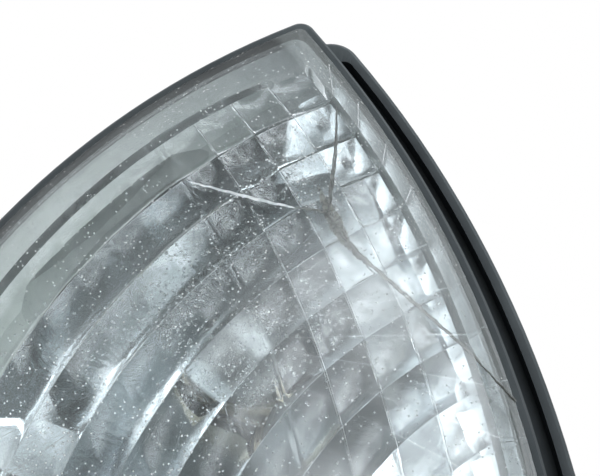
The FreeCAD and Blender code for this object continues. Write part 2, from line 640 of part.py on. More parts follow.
def holder_seal():
    return tube(SEAL_OUTER_R, SEAL_INNER_R, BACK_Y, HOLDER_Y)


def socket_sleeve():
    """Bayonet sleeve: thin tube with two J-shaped slots open to the front."""
    body = tube(SLEEVE_R + SLEEVE_WALL, SLEEVE_R, SLEEVE_FRONT_Y, SLEEVE_REAR_Y)
    arc = 2 * math.degrees(PIN_ROOM / SLEEVE_R)
    far_y = PIN_Y + PUSH + PIN_ROOM
    slots = []
    for angle in PIN_ANGLES:
        for middle, width, start in ((angle - BAYONET_TURN, arc, SLEEVE_FRONT_Y - 1),
                                     (angle - BAYONET_TURN / 2, BAYONET_TURN, far_y - 2 * PIN_ROOM),
                                     (angle, arc, PIN_Y - PIN_ROOM)):
            slots.append(sector(SLEEVE_R - 1, SLEEVE_R + SLEEVE_WALL + 1, middle, width, start, far_y))
    return body.cut(slots)


def contact_plunger():
    """Brass plunger: a head that touches the bulb and a stem that guides the spring."""
    head = rod(PLUNGER_HEAD_R, CONTACT_Y, DISC_Y)
    return head.fuse(rod(PLUNGER_R, DISC_Y, CONTACT_Y + PLUNGER_LENGTH)).removeSplitter()


def contact_insulator():
    return tube(SLEEVE_R - SLEEVE_SEAT - PLAY, PLUNGER_R, DISC_Y, DISC_Y + INSULATOR)


def contact_spring():
    """Coil spring of square wire between the insulator and the live terminal's foot."""
    half = SPRING_WIRE / 2
    start = DISC_Y + INSULATOR + half + SPRING_GAP
    height = FOOT_TOP_Y - half - SPRING_GAP - start
    radius = SPRING_R - half
    helix = Part.makeHelix(height / SPRING_TURNS, height, radius)
    corners = [V(radius + x, 0, z) for x, z in ((-half, -half), (half, -half), (half, half), (-half, half))]
    coil = Part.Wire(helix).makePipeShell([Part.makePolygon(corners + corners[:1])], True, True)
    coil.rotate(V(0, 0, 0), V(1, 0, 0), -90)
    coil.translate(V(0, start, 0))
    return coil


# --- Bulb -----------------------------------------------------------------------------------
def glass_form(shrink):
    """Form of the bulb's glass, made smaller by shrink: a ball that runs into a neck."""
    radius, neck = BULB_R - shrink, NECK_R - shrink
    centre = LIGHT_Y - LIGHT_TO_TIP + BULB_R
    join = centre + math.sqrt(radius ** 2 - neck ** 2)
    rear = NECK_END_Y - shrink
    front = V(0, centre - radius, 0)
    arc = Part.Arc(front, V(radius, centre, 0), V(neck, join, 0))
    wire = Part.Wire([arc.toShape(), Part.makeLine(V(neck, join, 0), V(neck, rear, 0)),
                      Part.makeLine(V(neck, rear, 0), V(0, rear, 0)), Part.makeLine(V(0, rear, 0), front)])
    return Part.Face(wire).revolve(V(0, 0, 0), BACKWARDS, 360)


def bulb_glass():
    return glass_form(0.0).cut(glass_form(GLASS))


def bulb_stem():
    """Glass foot that carries the support wires."""
    top = STEM_Y - STEM_LENGTH
    return turned([(0, top), (STEM_NECK_R, top), (STEM_NECK_R, STEM_Y - STEM_LENGTH / 2), (STEM_R, STEM_Y),
                   (0, STEM_Y)])


def bulb_supports():
    """Two wires that spread from the stem to the ends of the filament."""
    wires = []
    for side in (-1, 1):
        foot = V(side * STEM_NECK_R / 2, STEM_Y - STEM_LENGTH, 0)
        run = V(side * FILAMENT_LENGTH / 2, LIGHT_Y + FILAMENT_R, 0).sub(foot)
        wire = Part.makeCylinder(SUPPORT_R, run.Length, foot, run)
        wires.append(wire.cut([bulb_stem(), bulb_filament()]))
    return Part.makeCompound(wires)


def bulb_filament():
    """Tight coil, as a slim bar across the two support wires."""
    half = FILAMENT_LENGTH / 2 + FILAMENT_END
    return Part.makeCylinder(FILAMENT_R, 2 * half, V(-half, LIGHT_Y, 0), V(1, 0, 0))


def bulb_cap():
    """Brass cap: thin cup with a bevelled rear and two bayonet pins."""
    bend = CAP_REAR_Y - CAP_NOSE
    inner = CAP_R - CAP_SHEET
    cup = turned([(CAP_R, CAP_FRONT_Y), (CAP_R, bend), (CAP_R - CAP_NOSE, CAP_REAR_Y), (CAP_NOSE_R, CAP_REAR_Y),
                  (CAP_NOSE_R, CAP_REAR_Y - CAP_SHEET), (inner - CAP_NOSE, CAP_REAR_Y - CAP_SHEET),
                  (inner, bend - CAP_SHEET), (inner, CAP_FRONT_Y)])
    pins = []
    for angle in PIN_ANGLES:
        way = V(math.cos(math.radians(angle)), 0, math.sin(math.radians(angle)))
        start = V(0, PIN_Y, 0) + way * (CAP_R - CAP_SHEET / 2)
        pins.append(Part.makeCylinder(PIN_R, PIN_REACH - CAP_R + CAP_SHEET / 2, start, way))
    return cup.fuse(pins)


def bulb_insulator():
    """Black glass that closes the cap round the contact."""
    return tube(CAP_NOSE_R, CONTACT_R, CAP_REAR_Y - PLUG_DEPTH, CAP_REAR_Y)


def bulb_contact():
    """Solder contact with a bevelled end."""
    start = CAP_REAR_Y - PLUG_DEPTH
    post = rod(CONTACT_R, start, CAP_REAR_Y)
    nose = Part.makeCone(CONTACT_R, CONTACT_R / 2, CONTACT_HEIGHT, V(0, CAP_REAR_Y, 0), BACKWARDS)
    return post.fuse(nose)


# --- All pieces -------------------------------------------------------------------------------
PIECES = {
    "lens": lens(),
    "housing": housing(),
    "reflector": reflector(),
    "lens_seal": lens_seal(),
    "panel_gasket": panel_gasket(),
    "breather_cap": breather_cap(),
    "breather_filter": breather_filter(),
    "holder_body": holder_body(),
    "holder_seal": holder_seal(),
    "live_terminal": live_terminal(),
    "earth_terminal": earth_terminal(),
    "socket_sleeve": socket_sleeve(),
    "contact_plunger": contact_plunger(),
    "contact_insulator": contact_insulator(),
    "contact_spring": contact_spring(),
    "bulb_glass": bulb_glass(),
    "bulb_stem": bulb_stem(),
    "bulb_supports": bulb_supports(),
    "bulb_filament": bulb_filament(),
    "bulb_cap": bulb_cap(),
    "bulb_insulator": bulb_insulator(),
    "bulb_contact": bulb_contact(),
}
for number, (x, z) in enumerate(ring_places(STUD_COUNT, STUD_CIRCLE, STUD_ANGLE), 1):
    PIECES[f"mounting_stud_{number}"] = mounting_stud(x, z)
    PIECES[f"stud_washer_{number}"] = stud_washer(x, z)
for number, (x, z) in enumerate(ring_places(SCREW_COUNT, SCREW_CIRCLE, SCREW_ANGLE), 1):
    PIECES[f"reflector_screw_{number}"] = reflector_screw(x, z)

os.makedirs("parts", exist_ok=True)
for name, shape in PIECES.items():
    solids = shape.Solids
    Part.makeCompound(solids).exportStep(f"parts/{name}.step")
    volume = sum(solid.Volume for solid in solids)
    print(f"{name}: {len(solids)} solid(s), {volume:.0f} mm3, valid {shape.isValid()}")
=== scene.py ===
# %% [markdown]
# # A front turn signal with a clear cover
# The lamp is a triangle of black plastic about 125 mm wide. A clear cover of acrylic closes its front, and
# through its stepped optics shows a bowl of vacuum-metallised plastic round a bulb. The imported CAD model
# gives every piece its place. This script loads it as a frame, in metres, and gives it its looks.
# The cover is a used one: it has a long crack, a film of dust, pale specks, and drops of damp inside.

# %% Load the frame
import math

import bpy
import numpy as np
from mathutils import Matrix, Vector

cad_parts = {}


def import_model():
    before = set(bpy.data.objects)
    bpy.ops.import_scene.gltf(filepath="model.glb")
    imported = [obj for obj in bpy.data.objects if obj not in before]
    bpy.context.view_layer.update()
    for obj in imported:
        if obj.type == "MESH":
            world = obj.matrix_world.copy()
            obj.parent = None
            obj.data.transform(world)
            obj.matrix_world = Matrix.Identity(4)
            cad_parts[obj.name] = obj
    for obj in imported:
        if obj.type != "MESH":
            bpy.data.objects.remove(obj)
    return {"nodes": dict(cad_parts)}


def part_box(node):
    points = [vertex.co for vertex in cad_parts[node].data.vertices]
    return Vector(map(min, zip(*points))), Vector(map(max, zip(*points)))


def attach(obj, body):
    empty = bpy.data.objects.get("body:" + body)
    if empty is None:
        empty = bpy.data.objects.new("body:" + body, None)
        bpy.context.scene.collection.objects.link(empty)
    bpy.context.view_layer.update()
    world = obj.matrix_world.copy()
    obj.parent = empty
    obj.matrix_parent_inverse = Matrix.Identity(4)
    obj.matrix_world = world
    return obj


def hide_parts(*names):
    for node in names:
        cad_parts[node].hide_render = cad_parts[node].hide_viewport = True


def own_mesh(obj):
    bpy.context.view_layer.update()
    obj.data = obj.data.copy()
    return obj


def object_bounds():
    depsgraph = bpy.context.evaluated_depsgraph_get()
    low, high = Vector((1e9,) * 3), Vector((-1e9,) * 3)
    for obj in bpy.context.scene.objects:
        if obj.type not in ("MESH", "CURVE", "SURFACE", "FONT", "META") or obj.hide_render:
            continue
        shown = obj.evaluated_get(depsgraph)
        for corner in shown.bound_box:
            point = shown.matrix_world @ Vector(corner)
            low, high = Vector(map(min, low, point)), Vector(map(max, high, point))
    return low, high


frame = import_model()
cad_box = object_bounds()
NODES = frame["nodes"]
MM = 0.001
print("box in mm:", [round(float(a) / MM, 1) for corner in cad_box for a in corner])

# %% [markdown]
# ## Colours and nodes
# Colours are written as sRGB hex values, the way a paint chart gives them. The renderer works in linear
# light, so one function turns each value to linear. A second function adds a node to a material with its
# settings and its links, so that a material reads as a short list of what it is made of. A third starts a
# material, and a fourth ends one that lets light through.

# %% Colour and node helpers
def linear(code, alpha=1.0):
    """Each channel c of the hex colour becomes ((c + 0.055) / 1.055) ** 2.4, or c / 12.92 where it is dark."""
    channels = [int(code[i:i + 2], 16) / 255 for i in (1, 3, 5)]
    return [c / 12.92 if c <= 0.04045 else ((c + 0.055) / 1.055) ** 2.4 for c in channels] + [alpha]


def add(tree, kind, settings=None, stops=(), **values):
    """Adds one node. settings are its properties and stops a colour ramp's (place, hex colour) pairs; values go to
    its inputs, as plain values or as output sockets."""
    node = tree.nodes.new(kind)
    for name, value in (settings or {}).items():
        setattr(node, name, value)
    if stops:
        elements = node.color_ramp.elements
        for _ in stops[2:]:
            elements.new(0.5)
        for element, (place, code) in zip(elements, stops):
            element.position, element.color = place, linear(code)
    for name, value in values.items():
        key = int(name[1:]) if name[0] == "_" and name[1:].isdigit() else name.replace("_", " ")
        socket = node.inputs[key]
        if isinstance(value, bpy.types.NodeSocket):
            tree.links.new(value, socket)
        else:
            socket.default_value = value
    return node


def blank(name):
    """A new material, its emptied tree, the coordinates of the object that wears it, and its output node."""
    material = bpy.data.materials.new(name)
    material.use_nodes = True
    tree = material.node_tree
    tree.nodes.clear()
    place = add(tree, "ShaderNodeTexCoord").outputs["Object"]
    return material, tree, place, tree.nodes.new("ShaderNodeOutputMaterial")


def clear_for_lamps(tree, out, skin, colour):
    """Joins a bending shader to the output. A lamp's light can't find its way through a bend, so for shadow rays a
    plain transparent shader of one colour stands in."""
    lamp = add(tree, "ShaderNodeLightPath").outputs["Is Shadow Ray"]
    clear = add(tree, "ShaderNodeBsdfTransparent", Color=linear(colour)).outputs[0]
    tree.links.new(add(tree, "ShaderNodeMixShader", _0=lamp, _1=skin, _2=clear).outputs[0], out.inputs[0])


SMOOTH = {"interpolation_type": "SMOOTHSTEP"}
print("white #ffffff is", linear("#ffffff"), "and mid grey #808080 is", [round(c, 3) for c in linear("#808080")])

# %% [markdown]
# ## The lamp's outline
# Seen from the front the lamp is a bowed triangle: three shallow arcs and three rounded corners. Every ring
# of the cover is that outline moved in or out, so one function gives it for any three offsets. It always
# returns the same number of points in the same order, so two rings can be joined point to point.

# %% Outline values, in millimetres
CORNERS = {"top": (45.2, 53.5), "tip": (-72.0, 15.5), "foot": (25.5, -70.0)}
ROUNDS = {"top": 3.0, "tip": 14.0, "foot": 12.0}
RADII = {"top": 151.2, "lower": 170.0, "outer": 221.4}
ROUND_LEAST = 1.6
SIDE_STEPS, CORNER_STEPS = 150, 40


def arc_centre(start, end, radius):
    """Middle of the chord, moved inwards by the root of radius squared less half the chord squared."""
    start, end = np.array(start), np.array(end)
    run = end - start
    half = np.linalg.norm(run) / 2
    inward = np.array([-run[1], run[0]]) / (2 * half)
    return (start + end) / 2 + inward * math.sqrt(radius ** 2 - half ** 2)


CENTRES = {
    "top": arc_centre(CORNERS["top"], CORNERS["tip"], RADII["top"]),
    "lower": arc_centre(CORNERS["tip"], CORNERS["foot"], RADII["lower"]),
    "outer": arc_centre(CORNERS["foot"], CORNERS["top"], RADII["outer"]),
}


def meet(centre_a, radius_a, centre_b, radius_b, near):
    """Where two circles cross, by the cosine rule; of the two crossings, the one nearer to a point."""
    gap = centre_b - centre_a
    size = np.linalg.norm(gap)
    along = (radius_a ** 2 - radius_b ** 2 + size ** 2) / (2 * size)
    across = np.sqrt(np.maximum(radius_a ** 2 - along ** 2, 0))
    unit = gap / size
    normal = np.array([-unit[1], unit[0]])
    foot = centre_a + np.multiply.outer(along, unit)
    both = [foot + sign * np.multiply.outer(across, normal) for sign in (1, -1)]
    far = [np.linalg.norm(b - np.array(near), axis=-1) for b in both]
    return np.where((far[0] < far[1])[..., None], both[0], both[1])


def swing(centre, radius, start, end, steps):
    """Points of an arc about a centre, at even angles from the direction of start to that of end."""
    a, b = (math.atan2(p[1] - centre[1], p[0] - centre[0]) for p in (start, end))
    turn = (b - a + math.pi) % (2 * math.pi) - math.pi
    angles = a + turn * np.arange(steps) / steps
    return centre + radius * np.stack([np.cos(angles), np.sin(angles)], -1)


def outline(top, outer=None, lower=None):
    """The lamp's outline, anticlockwise from the top corner, its sides moved outwards by three offsets."""
    off = {"top": top, "outer": top if outer is None else outer, "lower": top if lower is None else lower}
    order = [("top", "lower", "tip"), ("lower", "outer", "foot"), ("outer", "top", "top")]
    bends = []
    for before, after, corner in order:
        radius = max(ROUNDS[corner] + (off[before] + off[after]) / 2, ROUND_LEAST)
        ra, rb = RADII[before] + off[before], RADII[after] + off[after]
        ca, cb = CENTRES[before], CENTRES[after]
        centre = meet(ca, ra - radius, cb, rb - radius, CORNERS[corner])
        start = ca + (centre - ca) * ra / np.linalg.norm(centre - ca)
        end = cb + (centre - cb) * rb / np.linalg.norm(centre - cb)
        bends.append((centre, radius, start, end))
    parts = []
    for i, (before, _, _) in enumerate(order):
        parts.append(swing(CENTRES[before], RADII[before] + off[before], bends[i - 1][3], bends[i][2], SIDE_STEPS))
        parts.append(swing(*bends[i], CORNER_STEPS))
    return np.concatenate(parts)


edge = outline(0.0)
print("outline points:", len(edge), "from", edge.min(0).round(1), "to", edge.max(0).round(1), "mm")

# %% [markdown]
# ## The clear cover
# The real cover is moulded acrylic. Its front is a shallow dome with slanted sides. Inside, rows follow the
# top side and columns follow the outer side; each cell is a small tilted cushion that spreads the lamp's
# light. A renderer can bend light through such a form just as acrylic does, so the cover is one closed
# solid: an inner face of cushions, the slanted wall, the foot in its groove, and the smooth dome outside.
# The inner face is a grid whose two directions are the distance in from the top side and the distance in
# from the outer side, so rows and columns are simply lines of the grid.

# %% Values of the cover, in millimetres
WALL = 2.2
EDGE_OUT, EDGE_IN = -2.0, -4.6
RIM_Y, FOOT_Y = -47.0, -42.0
RIDGE = (-12.8, -8.0, -10.0)
DOME_R, DOME_AT, DOME_Y = 300.0, np.array([-6.0, -2.0]), -59.0
INNER_SIDE = 1.3
ROW_PITCH, ROW_STEP, ROW_SWELL = 8.9, 0.4, 0.42
COLUMN_PITCH, COLUMN_RIB, RIB_RISE = 8.2, 0.45, 0.22
CUSHION = 0.34
GROW = 1.5                                          # below its upper edge the relief grows over this distance
ROW_REACH, COLUMN_REACH = 128.0, 124.0              # the grid ends this far from the top and the outer side
ROW_LINES, COLUMN_LINES = 9, 11                     # grid lines inside one cell
EDGE = 0.012                                        # from a cell's edge to its last line, as a share of the cell
CUSHION_FADE = (0, 30, 52, 200), (1, 1, 0.3, 0.3)   # distance from the outer side, and what is left there
RIB_FADE = (0, 30, 45), (1, 1, 0)
CLEAR, ON_RING = 1.0, 0.004                         # by so much circles must cross, and this near is on the ring
LIP = (0.0, FOOT_Y), (0.0, RIM_Y - 0.8), (-0.6, RIM_Y - 1.0), (-0.8, RIM_Y - 1.9), (-1.5, RIM_Y - 2.2)


def dome(p, depth):
    """Depth of a ball's face below its highest point: root of R squared less distance squared, from the centre."""
    away = ((p - DOME_AT) ** 2).sum(-1)
    return DOME_Y + DOME_R - np.sqrt((DOME_R - depth) ** 2 - away)


def insets(p):
    """Distance in from the top side and from the outer side: each side's radius less the distance to its centre."""
    return (RADII["top"] - np.linalg.norm(p - CENTRES["top"], axis=-1),
            RADII["outer"] - np.linalg.norm(p - CENTRES["outer"], axis=-1))


def cell_lines(first, pitch, last, inside, rib):
    """Grid lines of one direction: even lines inside each cell, and close pairs at both sides of its edge."""
    share = np.concatenate([np.linspace(0, 1 - rib, inside), [1 - rib + EDGE, 1 - EDGE]])
    count = int((last - first) / pitch) + 1
    return (first + pitch * (np.arange(count)[:, None] + share[None, :])).ravel()


def shares(value, first, pitch):
    """Which cell a distance falls in, and how far across it from 0 to 1."""
    cell = np.floor((value - first) / pitch + 1e-6)
    return cell, (value - first) / pitch - cell


top_first, outer_first = -RIDGE[0] + INNER_SIDE, -RIDGE[1] + INNER_SIDE
row_lines = cell_lines(top_first, ROW_PITCH, ROW_REACH, ROW_LINES, 0.0)
column_lines = cell_lines(outer_first, COLUMN_PITCH, COLUMN_REACH, COLUMN_LINES, COLUMN_RIB / COLUMN_PITCH)
print("rows:", len(row_lines), "lines, columns:", len(column_lines), "lines")


# %% Inner face of the cover
def cushions(s, t):
    """How far the inner face stands behind the dome's: a row rises by one step from its upper to its lower
    edge; rows and cells swell as 1 less the square of the distance from their middles, and low ribs part
    the columns. No two columns swell alike. Columns fade out towards the tip, and all but the steps at the
    upper edge."""
    _, row = shares(s, top_first, ROW_PITCH)
    column, across = shares(t, outer_first, COLUMN_PITCH)
    body = 1 - COLUMN_RIB / COLUMN_PITCH
    below = np.clip((s - top_first) / GROW, 0, 1)
    strength = np.interp(t, *CUSHION_FADE) * below
    sway = 1 + 0.3 * np.sin(2.1 * column + 1.7 * np.floor((s - top_first) / ROW_PITCH + 1e-6))
    bulge = CUSHION * sway * (1 - (2 * np.clip(across / body, 0, 1) - 1) ** 2) * (across < body)
    rib = np.where(across > body + EDGE / 2, RIB_RISE, 0) * np.interp(t, *RIB_FADE)
    swell = ROW_SWELL * (1 - (2 * row - 1) ** 2) * below
    return row * ROW_STEP + swell + strength * (bulge + rib)


def nearest(points, ring):
    """For each point, the number of the ring's nearest point, worked out in blocks."""
    found = np.empty(len(points), int)
    for i in range(0, len(points), 4000):
        block = points[i:i + 4000]
        found[i:i + 4000] = ((block[:, None] - ring[None]) ** 2).sum(-1).argmin(1)
    return found


field_ring = outline(*(offset - INNER_SIDE for offset in RIDGE))
tangent = np.roll(field_ring, -1, 0) - np.roll(field_ring, 1, 0)
tangent /= np.linalg.norm(tangent, axis=1)[:, None]
S, T = np.meshgrid(row_lines, column_lines, indexing="ij")
grid = meet(CENTRES["top"], (RADII["top"] - S).ravel(), CENTRES["outer"], (RADII["outer"] - T).ravel(),
            CORNERS["top"])
beside = nearest(grid, field_ring)
gap = grid - field_ring[beside]
out_by = gap[:, 0] * tangent[beside, 1] - gap[:, 1] * tangent[beside, 0]
reach = (RADII["top"] - S + RADII["outer"] - T).ravel()     # two circles cross if their radii bridge the centres
reachable = reach > np.linalg.norm(CENTRES["top"] - CENTRES["outer"]) + CLEAR
inside = (out_by < ON_RING) & reachable
snapped = field_ring[beside] + tangent[beside] * (gap * tangent[beside]).sum(1)[:, None]
field = np.where(inside[:, None], grid, snapped)
print("grid points:", len(grid), "of which on the field:", int(inside.sum()))


# %% Faces of the inner field and its border
def grid_faces(rows, columns):
    """Four corners of every cell of a grid, in the order that makes rows times columns point backwards."""
    number = np.arange(rows * columns).reshape(rows, columns)
    return np.stack([number[:-1, :-1], number[1:, :-1], number[1:, 1:], number[:-1, 1:]], -1).reshape(-1, 4)


quads = grid_faces(len(row_lines), len(column_lines))
quads = quads[inside[quads].any(1) & reachable[quads].all(1)]
used, quads = np.unique(quads, return_inverse=True)
quads = quads.reshape(-1, 4)
field = field[used]


def border(faces, count):
    """Directed edges that have no partner in the other direction: each edge is coded as a * count + b."""
    edges = np.stack([faces, np.roll(faces, -1, 1)], -1).reshape(-1, 2)
    code, back = edges[:, 0] * count + edges[:, 1], edges[:, 1] * count + edges[:, 0]
    return edges[~np.isin(code, back)]


rim_edges = border(quads, len(field))
print("field faces:", len(quads), "border edges:", len(rim_edges))

# %% Rings from the field to the foot and over the front
s_in, t_in = insets(field)
s_in, t_in = np.maximum(s_in, top_first), np.maximum(t_in, outer_first)
field_y = dome(field, WALL) + cushions(s_in, t_in)
points = [np.stack([field[:, 0], field_y, field[:, 1]], -1)]
loop = np.unique(rim_edges)
place = nearest(field[loop], field_ring)
lean = field[loop] - field_ring[place]
size = np.linalg.norm(np.roll(field_ring, -1, 0) - field_ring, axis=1)[place]
place = place + (lean * tangent[place]).sum(1) / size


def along(ring, where):
    """Points of a closed ring at fractional places, each between its two neighbours in proportion."""
    low = np.floor(where).astype(int)
    share = (where - low)[:, None]
    return ring[low % len(ring)] * (1 - share) + ring[(low + 1) % len(ring)] * share


def at(ring, y):
    """Ring points (x, z) and a depth as (x, y, z)."""
    return np.stack([ring[:, 0], np.broadcast_to(y, len(ring)), ring[:, 1]], -1)


first, foot_in = field[loop], along(outline(EDGE_IN), place)
rings = [at(first * (1 - f) + foot_in * f, field_y[loop] * (1 - f) + RIM_Y * f) for f in np.linspace(0, 1, 7)[1:]]
rings.append(at(foot_in, FOOT_Y))
rings += [at(along(outline(EDGE_OUT + offset), place), y) for offset, y in LIP]
lip, ridge = rings[-1], along(outline(*RIDGE), place)
for f in (0.25, 0.5, 0.75, 0.94):
    rings.append(at(lip[:, [0, 2]] * (1 - f) + ridge * f, lip[:, 1] * (1 - f) + dome(ridge, 0) * f))
for g in np.concatenate([[1.0, 0.985], np.linspace(0.93, 0.06, 14)]):
    ring = DOME_AT + (ridge - DOME_AT) * g
    rings.append(at(ring, dome(ring, 0)))
print("rings:", len(rings), "of", len(loop), "points each")

# %% Join the rings into one closed solid
start, end = np.searchsorted(loop, rim_edges[:, 0]), np.searchsorted(loop, rim_edges[:, 1])
numbers = [loop] + [len(field) + len(loop) * k + np.arange(len(loop)) for k in range(len(rings))]
walls = [np.stack([a[end], a[start], b[start], b[end]], -1) for a, b in zip(numbers, numbers[1:])]
centre = len(field) + len(loop) * len(rings)
fan = np.stack([numbers[-1][end], numbers[-1][start], np.full(len(start), centre)], -1)
front = at(DOME_AT[None], dome(DOME_AT[None], 0))
cover_points = np.concatenate(points + rings + [front])
cover_faces = np.concatenate([quads] + walls).tolist() + fan.tolist()


def piece(name, points, faces, material, body, sharp=None):
    """A mesh object from points in millimetres, riding on a body. Edges bent by more than sharp degrees stay crisp.
    A face of n corners makes n - 2 triangles, so all of them make the corners less twice the faces."""
    mesh = bpy.data.meshes.new(name)
    mesh.from_pydata((np.asarray(points) * MM).tolist(), [], faces if isinstance(faces, list) else faces.tolist())
    mesh.materials.append(material)
    if sharp is not None:
        mesh.shade_smooth()
        mesh.set_sharp_from_angle(angle=math.radians(sharp))
    mesh.update()
    obj = bpy.data.objects.new(name, mesh)
    bpy.context.scene.collection.objects.link(obj)
    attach(obj, body)
    triangles = len(mesh.loops) - 2 * len(mesh.polygons)
    print(f"{name}: {len(mesh.vertices)} points, {triangles} triangles, {len(border_of(mesh))} open edges")
    return obj


def border_of(mesh):
    """Edges that only one face uses: how often each edge is met on the faces' loops is counted."""
    counted = np.zeros(len(mesh.loops), int)
    mesh.loops.foreach_get("edge_index", counted)
    return np.flatnonzero(np.bincount(counted, minlength=len(mesh.edges)) == 1)


# %% [markdown]
# ## Acrylic, used and damp
# The cover is injection-moulded PMMA. It bends light with an index of 1.49 and is nearly colourless. Years on
# the road leave a thin grey film of dust on it, in clouds and more along the slanted outer side, and pale
# specks in swarms. Real specks are finer. They are drawn up to 0.4 mm across so that they show.

# %% Acrylic
DUSTY = 9.5, 7.0    # along the outer side more dust starts this far in from the edge, and is full this far in


def from_centre(tree, place, side):
    """How far a point is from the centre of one side's arc, seen from the front, in metres."""
    flat = add(tree, "ShaderNodeVectorMath", {"operation": "MULTIPLY"}, _0=place, _1=(1, 0, 1)).outputs[0]
    middle = (CENTRES[side][0] * MM, 0, CENTRES[side][1] * MM)
    return add(tree, "ShaderNodeVectorMath", {"operation": "DISTANCE"}, _0=flat, _1=middle).outputs["Value"]


def acrylic():
    """Bending plastic under dust. The dust's share is that of the film, from a noise and from the distance to the
    outer side, or that of a speck. A speck is the middle of a cell of 0.8 mm, and dents the face; chance keeps
    more of them where the noise is high."""
    material, tree, place, out = blank("moulded acrylic, hazed and damp")
    cloud = add(tree, "ShaderNodeTexNoise", Vector=place, Scale=70.0, Detail=6.0, Roughness=0.62).outputs[0]
    cells = add(tree, "ShaderNodeTexVoronoi", Vector=place, Scale=1250.0, Randomness=1.0)
    dot = add(tree, "ShaderNodeMapRange", SMOOTH, Value=cells.outputs["Distance"], _1=0.27, _2=0.08).outputs[0]
    lot = add(tree, "ShaderNodeSeparateColor", Color=cells.outputs["Color"]).outputs[0]
    chance = add(tree, "ShaderNodeMapRange", Value=cloud, _1=0.42, _2=0.66, _3=0.90, _4=0.40).outputs[0]
    kept = add(tree, "ShaderNodeMath", {"operation": "GREATER_THAN"}, _0=lot, _1=chance).outputs[0]
    specks = add(tree, "ShaderNodeMath", {"operation": "MULTIPLY"}, _0=dot, _1=kept).outputs[0]
    dented = add(tree, "ShaderNodeBump", Strength=0.8, Distance=0.12 * MM, Height=specks).outputs[0]
    body = add(tree, "ShaderNodeBsdfPrincipled", Base_Color=linear("#f8fafa"), Roughness=0.055, IOR=1.49,
               Transmission_Weight=1.0, Normal=dented).outputs[0]
    film = add(tree, "ShaderNodeMapRange", Value=cloud, _1=0.35, _2=0.75, _3=0.03, _4=0.17).outputs[0]
    side = add(tree, "ShaderNodeMapRange", SMOOTH, Value=from_centre(tree, place, "outer"),
               _1=(RADII["outer"] - DUSTY[0]) * MM, _2=(RADII["outer"] - DUSTY[1]) * MM, _3=0.0, _4=0.28).outputs[0]
    film = add(tree, "ShaderNodeMath", {"operation": "ADD"}, _0=film, _1=side).outputs[0]
    share = add(tree, "ShaderNodeMath", {"operation": "MULTIPLY"}, _0=specks, _1=0.8).outputs[0]
    dusted = add(tree, "ShaderNodeMath", {"operation": "MAXIMUM"}, _0=film, _1=share).outputs[0]
    pale = add(tree, "ShaderNodeValToRGB", stops=((0.1, "#aab3b4"), (0.5, "#f6fafa")), _0=specks).outputs[0]
    dust = add(tree, "ShaderNodeBsdfPrincipled", Base_Color=pale, Roughness=0.8).outputs[0]
    skin = add(tree, "ShaderNodeMixShader", _0=dusted, _1=body, _2=dust).outputs[0]
    clear_for_lamps(tree, out, skin, "#e6e8e8")
    return material


cover = piece("clear_cover", cover_points, cover_faces, acrylic(), "lamp", sharp=28)
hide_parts("lens")

# %% [markdown]
# ## The crack
# A knock has split the cover along three branches that meet right of its middle. Seen through clear plastic,
# a crack is a thin sheet of air that runs from face to face, so each branch is a ribbon standing in the
# wall, along a smooth path with a slight wander. Dirt has crept in where the sheets reach the two faces, and
# draws dark lines. Near the meeting point the break is crushed to a dull patch. Along part of one branch a
# near-white sliver is a painted highlight, in place of the light that the break throws back.

# %% Ribbons in the wall
def path(stops, steps, wander):
    """Points along a line through the stops: each piece is a cubic whose slopes at a stop point from the stop
    before to the stop after, moved sideways by two sines of the distance."""
    stops = np.array(stops, float)
    slopes = np.gradient(stops, axis=0)
    where = np.linspace(0, len(stops) - 1 - 1e-9, steps)
    k, f = where.astype(int), (where % 1)[:, None]
    line = ((2 * f ** 3 - 3 * f ** 2 + 1) * stops[k] + (f ** 3 - 2 * f ** 2 + f) * slopes[k]
            + (3 * f ** 2 - 2 * f ** 3) * stops[k + 1] + (f ** 3 - f ** 2) * slopes[k + 1])
    side = np.gradient(line, axis=0)[:, ::-1] * (-1, 1)
    side /= np.linalg.norm(side, axis=1)[:, None]
    length = np.concatenate([[0], np.linalg.norm(np.diff(line, axis=0), axis=1).cumsum()])
    ends = np.minimum(1, np.minimum(length, length[-1] - length))[:, None]
    sway = (np.sin(length * 1.9) * 0.6 + np.sin(length * 5.3 + 1) * 0.4)[:, None]
    return line + side * sway * wander * ends, side


def in_wall(line, side, width, shallow, deep, lean):
    """A closed sliver along a path: two faces a width apart, from one depth below the front to another, its
    deep edge pushed sideways by lean."""
    width = np.broadcast_to(width, len(line))[:, None] / 2
    corners = []
    for offset, depth, push in ((-1, shallow, 0), (1, shallow, 0), (1, deep, lean), (-1, deep, lean)):
        p = line + side * (offset * width + push)
        corners.append(at(p, dome(p, depth)))
    points = np.stack(corners, 1).reshape(-1, 3)
    n = len(line)
    number = np.arange(4 * n).reshape(n, 4)
    nxt = np.roll(number, -1, 1)
    walls = np.stack([number[:-1], nxt[:-1], nxt[1:], number[1:]], -1).reshape(-1, 4)
    ends = np.array([number[0, ::-1], number[-1]])
    return points, np.concatenate([walls, ends])


def joined(parts):
    """Several meshes as one: each part's numbers are raised by the points before it."""
    starts = np.cumsum([0] + [len(p) for p, _ in parts])
    return (np.concatenate([p for p, _ in parts]),
            np.concatenate([faces + start for (_, faces), start in zip(parts, starts)]))


